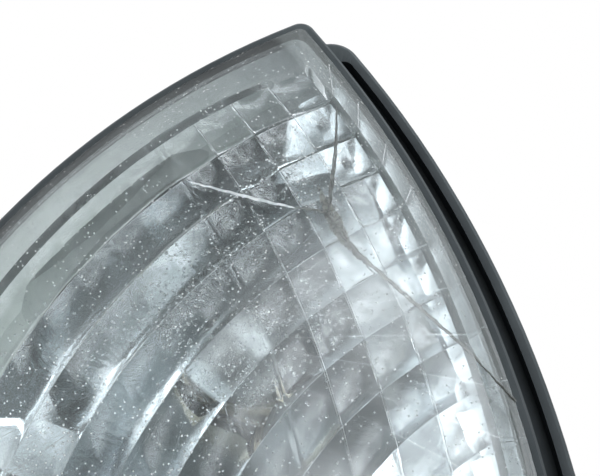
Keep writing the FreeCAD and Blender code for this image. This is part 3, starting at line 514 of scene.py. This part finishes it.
def fracture(name, colours, share, rough):
    """A broken face: plastic dust, dirt or a painted highlight over air, whose share a noise sets in patches
    about 1.5 mm long.
    """
    material, tree, place, out = blank(name)
    patch = add(tree, "ShaderNodeTexNoise", Vector=place, Scale=650.0, Detail=4.0, Roughness=0.7).outputs[0]
    dusted = add(tree, "ShaderNodeMapRange", Value=patch, _1=0.35, _2=0.62, _3=share[0], _4=share[1]).outputs[0]
    tone = add(tree, "ShaderNodeValToRGB", stops=((0.35, colours[0]), (0.65, colours[1])), _0=patch).outputs[0]
    face = add(tree, "ShaderNodeBsdfPrincipled", Base_Color=tone, Roughness=rough).outputs[0]
    air = add(tree, "ShaderNodeBsdfTransparent", Color=linear("#ffffff")).outputs[0]
    tree.links.new(add(tree, "ShaderNodeMixShader", _0=dusted, _1=air, _2=face).outputs[0], out.inputs[0])
    return material


# %% Three branches, in millimetres
MEETING = (24.5, 9.5)
SHEET_WIDE, NEAR_FRONT, NEAR_BACK = 0.06, 0.12, 1.8     # a sheet's width, and the depths where it starts and ends
# Over the first points of the left branch a near-white sliver is a painted highlight.
PAINTED_GLINT_POINTS = 38                                       # the left branch glints over its first points
left_line = path(((6.0, 27.5), (15.5, 17.5), (21.0, 12.5), MEETING), 60, 0.12)
up_line = path(((38.0, 29.5), (32.5, 21.0), (27.0, 13.5), MEETING), 80, 0.08)
down_line = path((MEETING, (24.8, 1.0), (27.5, -9.5), (32.0, -24.0), (35.0, -36.0)), 240, 0.10)
dull_line = [part[PAINTED_GLINT_POINTS - 4:] for part in left_line]
lines, sheets = [], []
for (line, side), leaning, start, end in ((dull_line, 0.9, 0.10, 0.22), (up_line, 0.5, 0.10, 0.34),
                                          (down_line, 0.9, 0.34, 0.18)):
    width = np.linspace(start, end, len(line))
    push = leaning * np.sin(np.linspace(0.35, math.pi - 0.25, len(line)))[:, None]
    sheets.append(in_wall(line, side, SHEET_WIDE, NEAR_FRONT, NEAR_BACK, push))
    lines.append(in_wall(line, side, width, 0.02, 0.11, 0.0))
    lines.append(in_wall(line + side * push, side, width * 0.6, NEAR_BACK, 1.9, 0.0))
crack = piece("crack", *joined(lines),
              fracture("fractured acrylic, dirty", ("#42413d", "#7b7c79"), (0.8, 1.0), 0.6), "lamp")
sheet = piece("crack_sheet", *joined(sheets),
              fracture("fractured acrylic, dull", ("#5c5d58", "#8f918d"), (0.45, 0.95), 0.5), "lamp")
# A near-white sliver over the left branch's first points: a painted highlight, in place of the light that the break
# throws back.
taper = np.sin(np.linspace(0.05, 1, PAINTED_GLINT_POINTS) * math.pi) ** 0.7
painted_glint_path = (part[:PAINTED_GLINT_POINTS] for part in left_line)
painted_glint = piece("crack_painted_glint", *in_wall(*painted_glint_path, 0.55 * taper + 0.03, 0.25, 1.2, 0.25),
              fracture("fractured acrylic, painted highlight", ("#dfe6e8", "#ffffff"), (0.55, 1.0), 0.25), "lamp")
near = path(((25.8, 15.5), (24.9, 9.5), (24.4, 3.0), (25.6, -4.5)), 50, 0.2)
swell = 0.2 + 2.4 * np.sin(np.linspace(0, 1, 50) ** 0.8 * math.pi) ** 2
frost = piece("crack_frost", *in_wall(*near, swell, 1.0, 1.25, 0.1),
              fracture("fractured acrylic, crushed", ("#66665f", "#94958f"), (0.45, 0.8), 0.8), "lamp")

# %% [markdown]
# ## Damp inside
# Drops hang on the inner face where the lamp breathes in damp air: many small ones in the middle and at the
# left, in loose swarms. A drop is a low cap of water, and all of them are one mesh.

# %% Drops of damp
SWARMS = np.array([(-8, 6, 9), (6, 14, 12), (-22, 10, 14), (12, -4, 10), (-4, -12, 12), (16, 22, 9), (0, 0, 30)])
DROPS, DROP_SEED = 3300, 7
DROP_LEAST, DROP_MORE = 0.09, 0.22      # radius of the smallest, and what the largest has more
SINK = 0.03                             # a drop's foot is this deep in the plastic


def drops(count, seed):
    """Caps of radius LEAST + MORE q^3 for an even random q, strewn normally round the swarms (x, z, spread), and
    each of 26 points: three rings of 8, at shares of the radius outwards and upwards, a top and a foot."""
    random = np.random.default_rng(seed)
    pick = random.integers(0, len(SWARMS), count)
    middle = SWARMS[pick, :2] + random.normal(size=(count, 2)) * SWARMS[pick, 2:] * (0.55, 0.35)
    s, t = insets(middle)
    keep = (s > top_first + 2) & (t > outer_first + 6) & (np.abs(middle).max(1) < 45)
    middle, s, t = middle[keep], s[keep], t[keep]
    size = DROP_LEAST + DROP_MORE * random.random(len(middle)) ** 3
    foot = dome(middle, WALL) + cushions(s, t) - SINK
    angle = np.linspace(0, 2 * math.pi, 8, endpoint=False)
    rings = []
    for radius, height in ((1.0, 0.0), (0.86, 0.35), (0.5, 0.62)):
        x = middle[:, :1] + size[:, None] * radius * np.cos(angle)
        z = middle[:, 1:] + size[:, None] * radius * np.sin(angle)
        rings.append(np.stack([x, foot[:, None] + size[:, None] * height + 0 * x, z], -1))
    top = np.stack([middle[:, 0], foot + size * 0.7, middle[:, 1]], -1)[:, None]
    base = np.stack([middle[:, 0], foot, middle[:, 1]], -1)[:, None]
    points = np.concatenate(rings + [top, base], 1)
    here, there = np.arange(8), (np.arange(8) + 1) % 8
    faces = [np.stack([here + 8 * k, here + 8 * k + 8, there + 8 * k + 8, there + 8 * k], -1) for k in (0, 1)]
    caps = [np.stack([here + 16, np.full(8, 24), there + 16], -1), np.stack([there, np.full(8, 25), here], -1)]
    shift = 26 * np.arange(len(middle))[:, None, None]
    four = (np.concatenate(faces)[None] + shift).reshape(-1, 4)
    three = (np.concatenate(caps)[None] + shift).reshape(-1, 3)
    return points.reshape(-1, 3), four.tolist() + three.tolist()


def water():
    """Clear water, index 1.33; a faint noise keeps the drops from being perfectly smooth."""
    material, tree, place, out = blank("water drops")
    ripple = add(tree, "ShaderNodeTexNoise", Vector=place, Scale=4000.0)
    bump = add(tree, "ShaderNodeBump", Strength=0.2, Distance=0.02 * MM, Height=ripple.outputs[0]).outputs[0]
    body = add(tree, "ShaderNodeBsdfPrincipled", Base_Color=linear("#fbfdfd"), Roughness=0.02, IOR=1.33,
               Transmission_Weight=1.0, Normal=bump).outputs[0]
    clear_for_lamps(tree, out, body, "#ffffff")
    return material


damp = piece("damp_drops", *drops(DROPS, DROP_SEED), water(), "lamp", sharp=60)

# %% [markdown]
# ## The bowl
# The bowl is moulded plastic under a film of aluminium, laid on in a vacuum. It mirrors like metal, a little
# blurred, because the plastic below is not polished. Damp has clouded the film in patches, which mirror less
# and look grey, and the film is darker in two spots. The flat flange round the bowl was masked, and shows the
# pale grey plastic itself, darker towards the top corner.

# %% Vacuum-metallised plastic
MASKED = {"top": 17.5, "outer": 5.2}    # how far in from a side the plastic is bare
MASK_Y = -38.5                          # and only in front of this
DARK_SPOTS = (((15.0, 12.0), (15.0, 36.0)), ((44.0, 50.0), (15.0, 13.0)))      # middle, and half width and height
DARKER_BETWEEN = -20.0, 38.0                   # from left to right the bare plastic darkens between these


def metallised():
    """Aluminium colour, clouded by a noise and dark inside two spots, where the distance from the
    middle, in half widths, is small. It gives way to bare plastic in front, where the distance to the centre of a
    side exceeds its radius less the width of the strip. The bare plastic darkens from left to right."""
    material, tree, place, out = blank("vacuum-metallised plastic, clouded")
    across, depth, _ = add(tree, "ShaderNodeSeparateXYZ", Vector=place).outputs
    cloud = add(tree, "ShaderNodeTexNoise", Vector=place, Scale=55.0, Detail=5.0, Roughness=0.6).outputs[0]
    fine = add(tree, "ShaderNodeTexNoise", Vector=place, Scale=900.0, Detail=3.0).outputs[0]
    tone = add(tree, "ShaderNodeValToRGB", stops=((0.30, "#a3aaad"), (0.52, "#d3d8da"), (0.75, "#eceff0")),
               _0=cloud).outputs[0]
    for (x, z), (width, height) in DARK_SPOTS:
        spread = add(tree, "ShaderNodeVectorMath", {"operation": "MULTIPLY"}, _0=place,
                     _1=(1 / (width * MM), 0, 1 / (height * MM))).outputs[0]
        off = add(tree, "ShaderNodeVectorMath", {"operation": "DISTANCE"}, _0=spread,
                  _1=(x / width, 0, z / height)).outputs["Value"]
        spot = add(tree, "ShaderNodeMapRange", SMOOTH, Value=off, _1=1.1, _2=0.45, _3=0.0, _4=0.9).outputs[0]
        tone = add(tree, "ShaderNodeMix", {"data_type": "RGBA"}, _0=spot, _6=tone, _7=linear("#5b6165")).outputs[2]
    rough = add(tree, "ShaderNodeMapRange", Value=cloud, _1=0.35, _2=0.7, _3=0.2, _4=0.07).outputs[0]
    uneven = add(tree, "ShaderNodeBump", Strength=0.25, Distance=0.1 * MM, Height=fine).outputs[0]
    film = add(tree, "ShaderNodeBsdfPrincipled", Base_Color=tone, Metallic=1.0, Roughness=rough, Normal=uneven)
    grime = add(tree, "ShaderNodeTexNoise", Vector=place, Scale=210.0, Detail=8.0, Roughness=0.7).outputs[0]
    dirt = add(tree, "ShaderNodeValToRGB", stops=((0.30, "#8b918d"), (0.40, "#b1b8b4"), (0.70, "#bcc3be")),
               _0=grime).outputs[0]
    darkening = add(tree, "ShaderNodeMapRange", Value=across, _1=DARKER_BETWEEN[0] * MM, _2=DARKER_BETWEEN[1] * MM, _3=0.0,
                _4=0.95).outputs[0]
    darkened = add(tree, "ShaderNodeMix", {"data_type": "RGBA"}, _0=darkening, _6=dirt, _7=linear("#4f5658")).outputs[2]
    bare = add(tree, "ShaderNodeBsdfPrincipled", Base_Color=darkened, Roughness=0.6)
    beyond = [add(tree, "ShaderNodeMath", {"operation": "GREATER_THAN"}, _0=from_centre(tree, place, side),
                  _1=(RADII[side] - inset) * MM).outputs[0] for side, inset in MASKED.items()]
    strip = add(tree, "ShaderNodeMath", {"operation": "MAXIMUM"}, _0=beyond[0], _1=beyond[1]).outputs[0]
    front = add(tree, "ShaderNodeMath", {"operation": "LESS_THAN"}, _0=depth, _1=MASK_Y * MM).outputs[0]
    flange = add(tree, "ShaderNodeMath", {"operation": "MULTIPLY"}, _0=strip, _1=front).outputs[0]
    tree.links.new(add(tree, "ShaderNodeMixShader", _0=flange, _1=film.outputs[0], _2=bare.outputs[0]).outputs[0],
                   out.inputs[0])
    return material


def dress(node, material):
    """Puts one material on a CAD node."""
    NODES[node].data.materials.clear()
    NODES[node].data.materials.append(material)
    print(f"{node} wears {material.name}")


dress("reflector", metallised())

# %% [markdown]
# ## Dark plastics, rubber and foam
# The housing is injection-moulded ABS, dyed dark grey, with the fine even grain of a spark-eroded mould:
# bumps about 0.25 mm apart. Washers, gasket and cap are moulded rubber, darker and duller. The holder is
# glass-filled nylon, whose fibres leave a slightly coarser grain. One function makes all of them, because
# they differ only in colour, gloss, and the size and height of their grain.

# %% Moulded plastics and rubbers
def moulded(name, colours, rough, grain_mm, height_mm, wear=None):
    """Colour from a slow noise, grain from a fine one of about grain_mm, and paler edges where wear is given."""
    material, tree, place, out = blank(name)
    slow = add(tree, "ShaderNodeTexNoise", Vector=place, Scale=38.0, Detail=5.0, Roughness=0.6).outputs[0]
    grain = add(tree, "ShaderNodeTexNoise", Vector=place, Scale=0.5 / (grain_mm * MM), Detail=2.0).outputs[0]
    colour = add(tree, "ShaderNodeValToRGB", stops=((0.3, colours[0]), (0.7, colours[1])), _0=slow).outputs[0]
    if wear:
        edge = add(tree, "ShaderNodeNewGeometry").outputs["Pointiness"]
        worn = add(tree, "ShaderNodeMapRange", Value=edge, _1=0.53, _2=0.62, _3=0.0, _4=0.6).outputs[0]
        mix = add(tree, "ShaderNodeMix", {"data_type": "RGBA"}, _0=worn, _6=colour, _7=linear(wear))
        colour = mix.outputs[2]
    gloss = add(tree, "ShaderNodeMapRange", Value=slow, _1=0.3, _2=0.7, _3=rough + 0.08, _4=rough - 0.06).outputs[0]
    bump = add(tree, "ShaderNodeBump", Strength=0.6, Distance=height_mm * MM, Height=grain).outputs[0]
    shader = add(tree, "ShaderNodeBsdfPrincipled", Base_Color=colour, Roughness=gloss, IOR=1.5,
                 Specular_IOR_Level=0.3, Normal=bump)
    tree.links.new(shader.outputs[0], out.inputs[0])
    return material


rubber = moulded("moulded EPDM rubber", ("#1c1f20", "#272a2b"), 0.78, 0.5, 0.03)
dress("housing", moulded("moulded ABS, spark-eroded grain", ("#272c2f", "#32373a"), 0.6, 0.25, 0.02, "#6b7376"))
dress("holder_body", moulded("moulded glass-filled nylon", ("#202325", "#2b2e30"), 0.5, 0.35, 0.03))
dress("lens_seal", moulded("cured sealant", ("#5d6263", "#767b7b"), 0.55, 0.9, 0.05))
dress("breather_filter", moulded("open-cell foam", ("#3c3f40", "#595d5e"), 0.95, 0.8, 0.4))
dress("contact_insulator", moulded("laminated phenolic paper", ("#5b3720", "#74492c"), 0.55, 0.6, 0.02))
for node in ("panel_gasket", "holder_seal", "breather_cap", "stud_washer_1", "stud_washer_2", "stud_washer_3"):
    dress(node, rubber)

# %% [markdown]
# ## Metals and glass
# Studs and screws are zinc-plated steel, faintly yellow from their passivation, and the studs have an M5
# thread with a pitch of 0.8 mm. The socket, terminals and bulb cap are plated brass. The bulb's glass is
# silvered, so that it doesn't colour the bowl, and the stem inside it is clear.

# %% Metals and glass
def plated(name, colours, rough):
    """Metal whose tone and gloss drift with a noise, which also lifts its face by two hundredths of a millimetre."""
    material, tree, place, out = blank(name)
    slow = add(tree, "ShaderNodeTexNoise", Vector=place, Scale=240.0, Detail=6.0, Roughness=0.65).outputs[0]
    tone = add(tree, "ShaderNodeValToRGB", stops=((0.3, colours[0]), (0.7, colours[1])), _0=slow).outputs[0]
    gloss = add(tree, "ShaderNodeMapRange", Value=slow, _1=0.3, _2=0.7, _3=rough + 0.1, _4=rough - 0.05).outputs[0]
    bump = add(tree, "ShaderNodeBump", Strength=0.7, Distance=0.02 * MM, Height=slow).outputs[0]
    shader = add(tree, "ShaderNodeBsdfPrincipled", Base_Color=tone, Metallic=1.0, Roughness=gloss, Normal=bump)
    tree.links.new(shader.outputs[0], out.inputs[0])
    return material


def pressed(name, colour, rough, film):
    """Clear glass of one colour, with a thin uneven film whose share a slow noise sets."""
    material, tree, place, out = blank(name)
    slow = add(tree, "ShaderNodeTexNoise", Vector=place, Scale=120.0, Detail=3.0).outputs[0]
    share = add(tree, "ShaderNodeMapRange", Value=slow, _1=0.3, _2=0.7, _3=film * 0.6, _4=film).outputs[0]
    glass = add(tree, "ShaderNodeBsdfPrincipled", Base_Color=linear(colour), Roughness=rough, IOR=1.5,
                Transmission_Weight=1.0).outputs[0]
    coat = add(tree, "ShaderNodeBsdfPrincipled", Base_Color=linear(colour), Roughness=0.35).outputs[0]
    skin = add(tree, "ShaderNodeMixShader", _0=share, _1=glass, _2=coat).outputs[0]
    clear_for_lamps(tree, out, skin, colour)
    return material


screw_steel = plated("zinc-plated steel", ("#a9a48f", "#cdc9b6"), 0.32)
tin = plated("tinned brass sheet", ("#b4b5ae", "#d2d3cc"), 0.3)
nickel = plated("nickel-plated brass", ("#b3ac9b", "#d6d0c0"), 0.22)
tungsten = plated("drawn tungsten wire", ("#55565a", "#77787c"), 0.4)
for node, material in {
        "reflector_screw_1": screw_steel, "reflector_screw_2": screw_steel, "reflector_screw_3": screw_steel,
        "earth_terminal": tin, "live_terminal": tin, "socket_sleeve": nickel, "bulb_cap": nickel,
        "contact_plunger": nickel, "bulb_filament": tungsten, "bulb_supports": tungsten,
        "bulb_contact": plated("soft solder", ("#8c8f92", "#b5b8ba"), 0.35),
        "contact_spring": plated("spring steel wire", ("#6d7073", "#93969a"), 0.28),
        "bulb_glass": plated("blown glass, silvered", ("#8f9394", "#b9bcbc"), 0.42),
        "bulb_stem": pressed("pressed glass stem", "#f4f7f5", 0.02, 0.02),
        "bulb_insulator": moulded("black vitrite", ("#0f1011", "#1c1d1f"), 0.2, 0.6, 0.01)}.items():
    dress(node, material)

# %% [markdown]
# ## Studs and a spring
# A screw thread is a cylinder whose radius rises and falls with the depth along its axis and with the angle
# round it together, once for every turn. Each stud has one, behind a plain shoulder and a buried head.
# Pushing the bulb in shortens the spring that stands behind its contact. Here the spring is a copy of its node,
# with a mesh of its own, that rides on the holder.

# %% Threaded studs
STUD_R, SHOULDER_R, HEAD_R, HEAD_LONG = 2.5, 2.9, 4.2, 3.0
STUD_OUT, STUD_TIP, PITCH, THREAD = 13.0, 0.8, 0.8, 0.49
ROUND_STEPS, PITCH_STEPS = 36, 10


def threaded(low, high):
    """Rows of points round a stud's axis. Behind the shoulder the radius is
    R - d (1 + cos 2 pi (y / pitch - turn)) / 2, where d fades in over the first turn, and no more than the bevel
    at the tip allows."""
    middle, seat = (low + high) / 2, high[1] - STUD_OUT
    depth = np.linspace(seat, high[1], int(STUD_OUT / PITCH * PITCH_STEPS) + 1)[:, None]
    turns = np.arange(ROUND_STEPS)[None] / ROUND_STEPS
    fade = np.clip((depth - seat) / PITCH, 0, 1)
    radius = STUD_R - THREAD * fade * (1 + np.cos(2 * math.pi * ((depth - seat) / PITCH - turns))) / 2
    radius = np.minimum(radius, STUD_R - STUD_TIP + high[1] - depth)
    plain = np.array([(low[1], HEAD_R), (low[1] + HEAD_LONG, HEAD_R), (low[1] + HEAD_LONG, SHOULDER_R),
                      (seat, SHOULDER_R)])
    radius = np.concatenate([np.repeat(plain[:, 1:], ROUND_STEPS, 1), radius])
    depth = np.concatenate([plain[:, :1], depth])
    points = np.stack([middle[0] + radius * np.cos(2 * math.pi * turns), depth + 0 * radius,
                       middle[2] + radius * np.sin(2 * math.pi * turns)], -1)
    number = np.arange(radius.size).reshape(radius.shape)
    after = np.roll(number, -1, 1)
    faces = np.stack([number[:-1], number[1:], after[1:], after[:-1]], -1).reshape(-1, 4).tolist()
    return points.reshape(-1, 3), faces + [number[0].tolist(), number[-1, ::-1].tolist()]


for number in (1, 2, 3):
    node = f"mounting_stud_{number}"
    low, high = (np.array(corner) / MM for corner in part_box(node))
    stud = piece(f"threaded_stud_{number}", *threaded(low, high), screw_steel, "lamp", 30)
    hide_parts(node)

# %% A copy of the spring
spring = bpy.data.objects.new("pressed_spring", NODES["contact_spring"].data.copy())
bpy.context.scene.collection.objects.link(spring)
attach(spring, "holder")
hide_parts("contact_spring")
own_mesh(spring)

# %% [markdown]
# ## Floor, light and world
# The lamp hangs in a plain white studio. The background is white only to the eye, to mirrors and to glass;
# what falls on the lamp is plain soft light. Mirrors also see that the room in front of the lamp is dim, with
# a bright wall at each side and a window, which is what gives a polished bowl its dark and bright parts.

# %% Studio
WINDOW = (0.45, -0.891, 0.06)       # direction of the window from the lamp
PLAIN = 0.42                        # strength of the soft light


def world():
    """White for the camera. For mirrors and glass it is white behind the lamp. The room in front is a chain of
    smooth steps from low to high between a start and an end of a direction, each added or multiplied in turn."""
    sky = bpy.data.worlds.new("studio")
    sky.use_nodes = True
    tree = sky.node_tree
    tree.nodes.clear()
    around = add(tree, "ShaderNodeTexCoord").outputs["Generated"]
    x, y, z = add(tree, "ShaderNodeSeparateXYZ", Vector=around).outputs
    ahead = add(tree, "ShaderNodeVectorMath", {"operation": "DOT_PRODUCT"}, _0=around, _1=WINDOW).outputs["Value"]
    folds = add(tree, "ShaderNodeTexNoise", Vector=around, Scale=4.5, Detail=3.0).outputs[0]
    room = 0.0
    for operation, value, start, end, low, high in (
            ("ADD", x, -0.22, -0.55, 0.0, 2.7),             # wall on the left
            ("ADD", x, 0.28, 0.75, 0.0, 4.8),               # wall on the right
            ("ADD", ahead, 0.89, 0.97, 0.0, 6.5),           # window
            ("MULTIPLY", folds, 0.40, 0.58, 0.5, 1.2),      # things that stand in front of them
            ("MULTIPLY", z, 0.55, 0.25, 0.2, 1.0),          # they end below the ceiling
            ("ADD", folds, 0.40, 0.62, 0.02, 0.40),         # dim things everywhere
            ("MULTIPLY", z, -0.36, -0.02, 0.05, 1.0),       # dark ground
            ("ADD", z, 0.45, 0.8, 0.0, 1.0)):               # ceiling
        step = add(tree, "ShaderNodeMapRange", SMOOTH, Value=value, _1=start, _2=end, _3=low, _4=high).outputs[0]
        room = add(tree, "ShaderNodeMath", {"operation": operation}, _0=room, _1=step).outputs[0]
    behind = add(tree, "ShaderNodeMapRange", SMOOTH, Value=y, _1=0.1, _2=0.35, _3=0.0, _4=1.0).outputs[0]
    bright = add(tree, "ShaderNodeMix", _0=behind, _2=room, _3=1.0).outputs[0]
    rays = add(tree, "ShaderNodeLightPath").outputs
    seen = add(tree, "ShaderNodeMath", {"operation": "MAXIMUM"}, _0=rays["Is Glossy Ray"],
               _1=rays["Is Transmission Ray"]).outputs[0]
    plain = add(tree, "ShaderNodeBackground", Color=linear("#ffffff"), Strength=PLAIN).outputs[0]
    mirrored = add(tree, "ShaderNodeBackground", Color=linear("#eef5fa"), Strength=bright).outputs[0]
    white = add(tree, "ShaderNodeBackground", Color=linear("#ffffff"), Strength=1.0).outputs[0]
    lit = add(tree, "ShaderNodeMixShader", _0=seen, _1=plain, _2=mirrored).outputs[0]
    shown = add(tree, "ShaderNodeMixShader", _0=rays["Is Camera Ray"], _1=lit, _2=white).outputs[0]
    tree.links.new(shown, tree.nodes.new("ShaderNodeOutputWorld").inputs[0])
    bpy.context.scene.world = sky


def softbox(name, position, target, size, power):
    """A square lamp of a given width, turned to a point; all in millimetres, the power in watts. Mirrors and
    glass don't see it, since the world already gives them the room."""
    light = bpy.data.lights.new(name, "AREA")
    light.shape, light.size, light.energy = "SQUARE", size * MM, power
    obj = bpy.data.objects.new(name, light)
    obj.visible_glossy = obj.visible_transmission = False
    obj.location = Vector(position) * MM
    obj.rotation_mode = "QUATERNION"
    obj.rotation_quaternion = (Vector(target) - Vector(position)).to_track_quat("-Z", "Y")
    bpy.context.scene.collection.objects.link(obj)


world()
softbox("key_light", (200, -500, 200), (0, -40, 0), 260, 0.9)
softbox("fill_light", (-420, -300, 160), (0, -40, 0), 300, 0.5)

# %% Floor
SIDE, NEAR, FAR = 2.0, -0.04, 2.5       # in metres; it starts behind the cover, so the bowl doesn't mirror it
low = cad_box[0].z
floor_mesh = bpy.data.meshes.new("studio_floor")
floor_mesh.from_pydata([(-SIDE, NEAR, low), (SIDE, NEAR, low), (SIDE, FAR, low), (-SIDE, FAR, low)], [], [(0, 1, 2, 3)])
floor_material, tree, place, out = blank("white matt board")
paper = add(tree, "ShaderNodeTexNoise", Vector=place, Scale=30.0).outputs[0]
tone = add(tree, "ShaderNodeValToRGB", stops=((0, "#eeeeee"), (1, "#f6f6f6")), _0=paper).outputs[0]
board = add(tree, "ShaderNodeBsdfPrincipled", Base_Color=tone, Roughness=0.9)
tree.links.new(board.outputs[0], out.inputs[0])
floor_mesh.materials.append(floor_material)
floor = bpy.data.objects.new("studio_floor", floor_mesh)
bpy.context.scene.collection.objects.link(floor)

# %% [markdown]
# ## Camera
# The camera stands low in front of the lamp, close, and leans by a third of a right angle, so that the top
# corner fills the view. Its place is found from the point it looks at: a distance back along its own axis.

# %% Camera
LEAN, TILT = math.radians(30), math.radians(25)
LOOK_AT, DISTANCE = (20, -47, 12), 260
SENSOR, LENS = 36.0, 83.87
up_first = Vector((math.sin(LEAN), 0, math.cos(LEAN)))
back = Vector((0, -1, 0)) * math.cos(TILT) - up_first * math.sin(TILT)
right = up_first.cross(back).normalized()
up = back.cross(right)
eye = (Vector(LOOK_AT) + back * DISTANCE) * MM
turn = Matrix((right, up, back)).transposed().to_4x4()
camera_data = bpy.data.cameras.new("view")
camera_data.sensor_width, camera_data.lens = SENSOR, LENS
camera_data.clip_start, camera_data.clip_end = 0.005, 20.0
camera = bpy.data.objects.new("view", camera_data)
camera.matrix_world = Matrix.Translation(eye) @ turn
bpy.context.scene.collection.objects.link(camera)
bpy.context.scene.camera = camera
bpy.context.scene.view_settings.view_transform = "Standard"
print("camera at", [round(a / MM, 1) for a in eye], "mm")
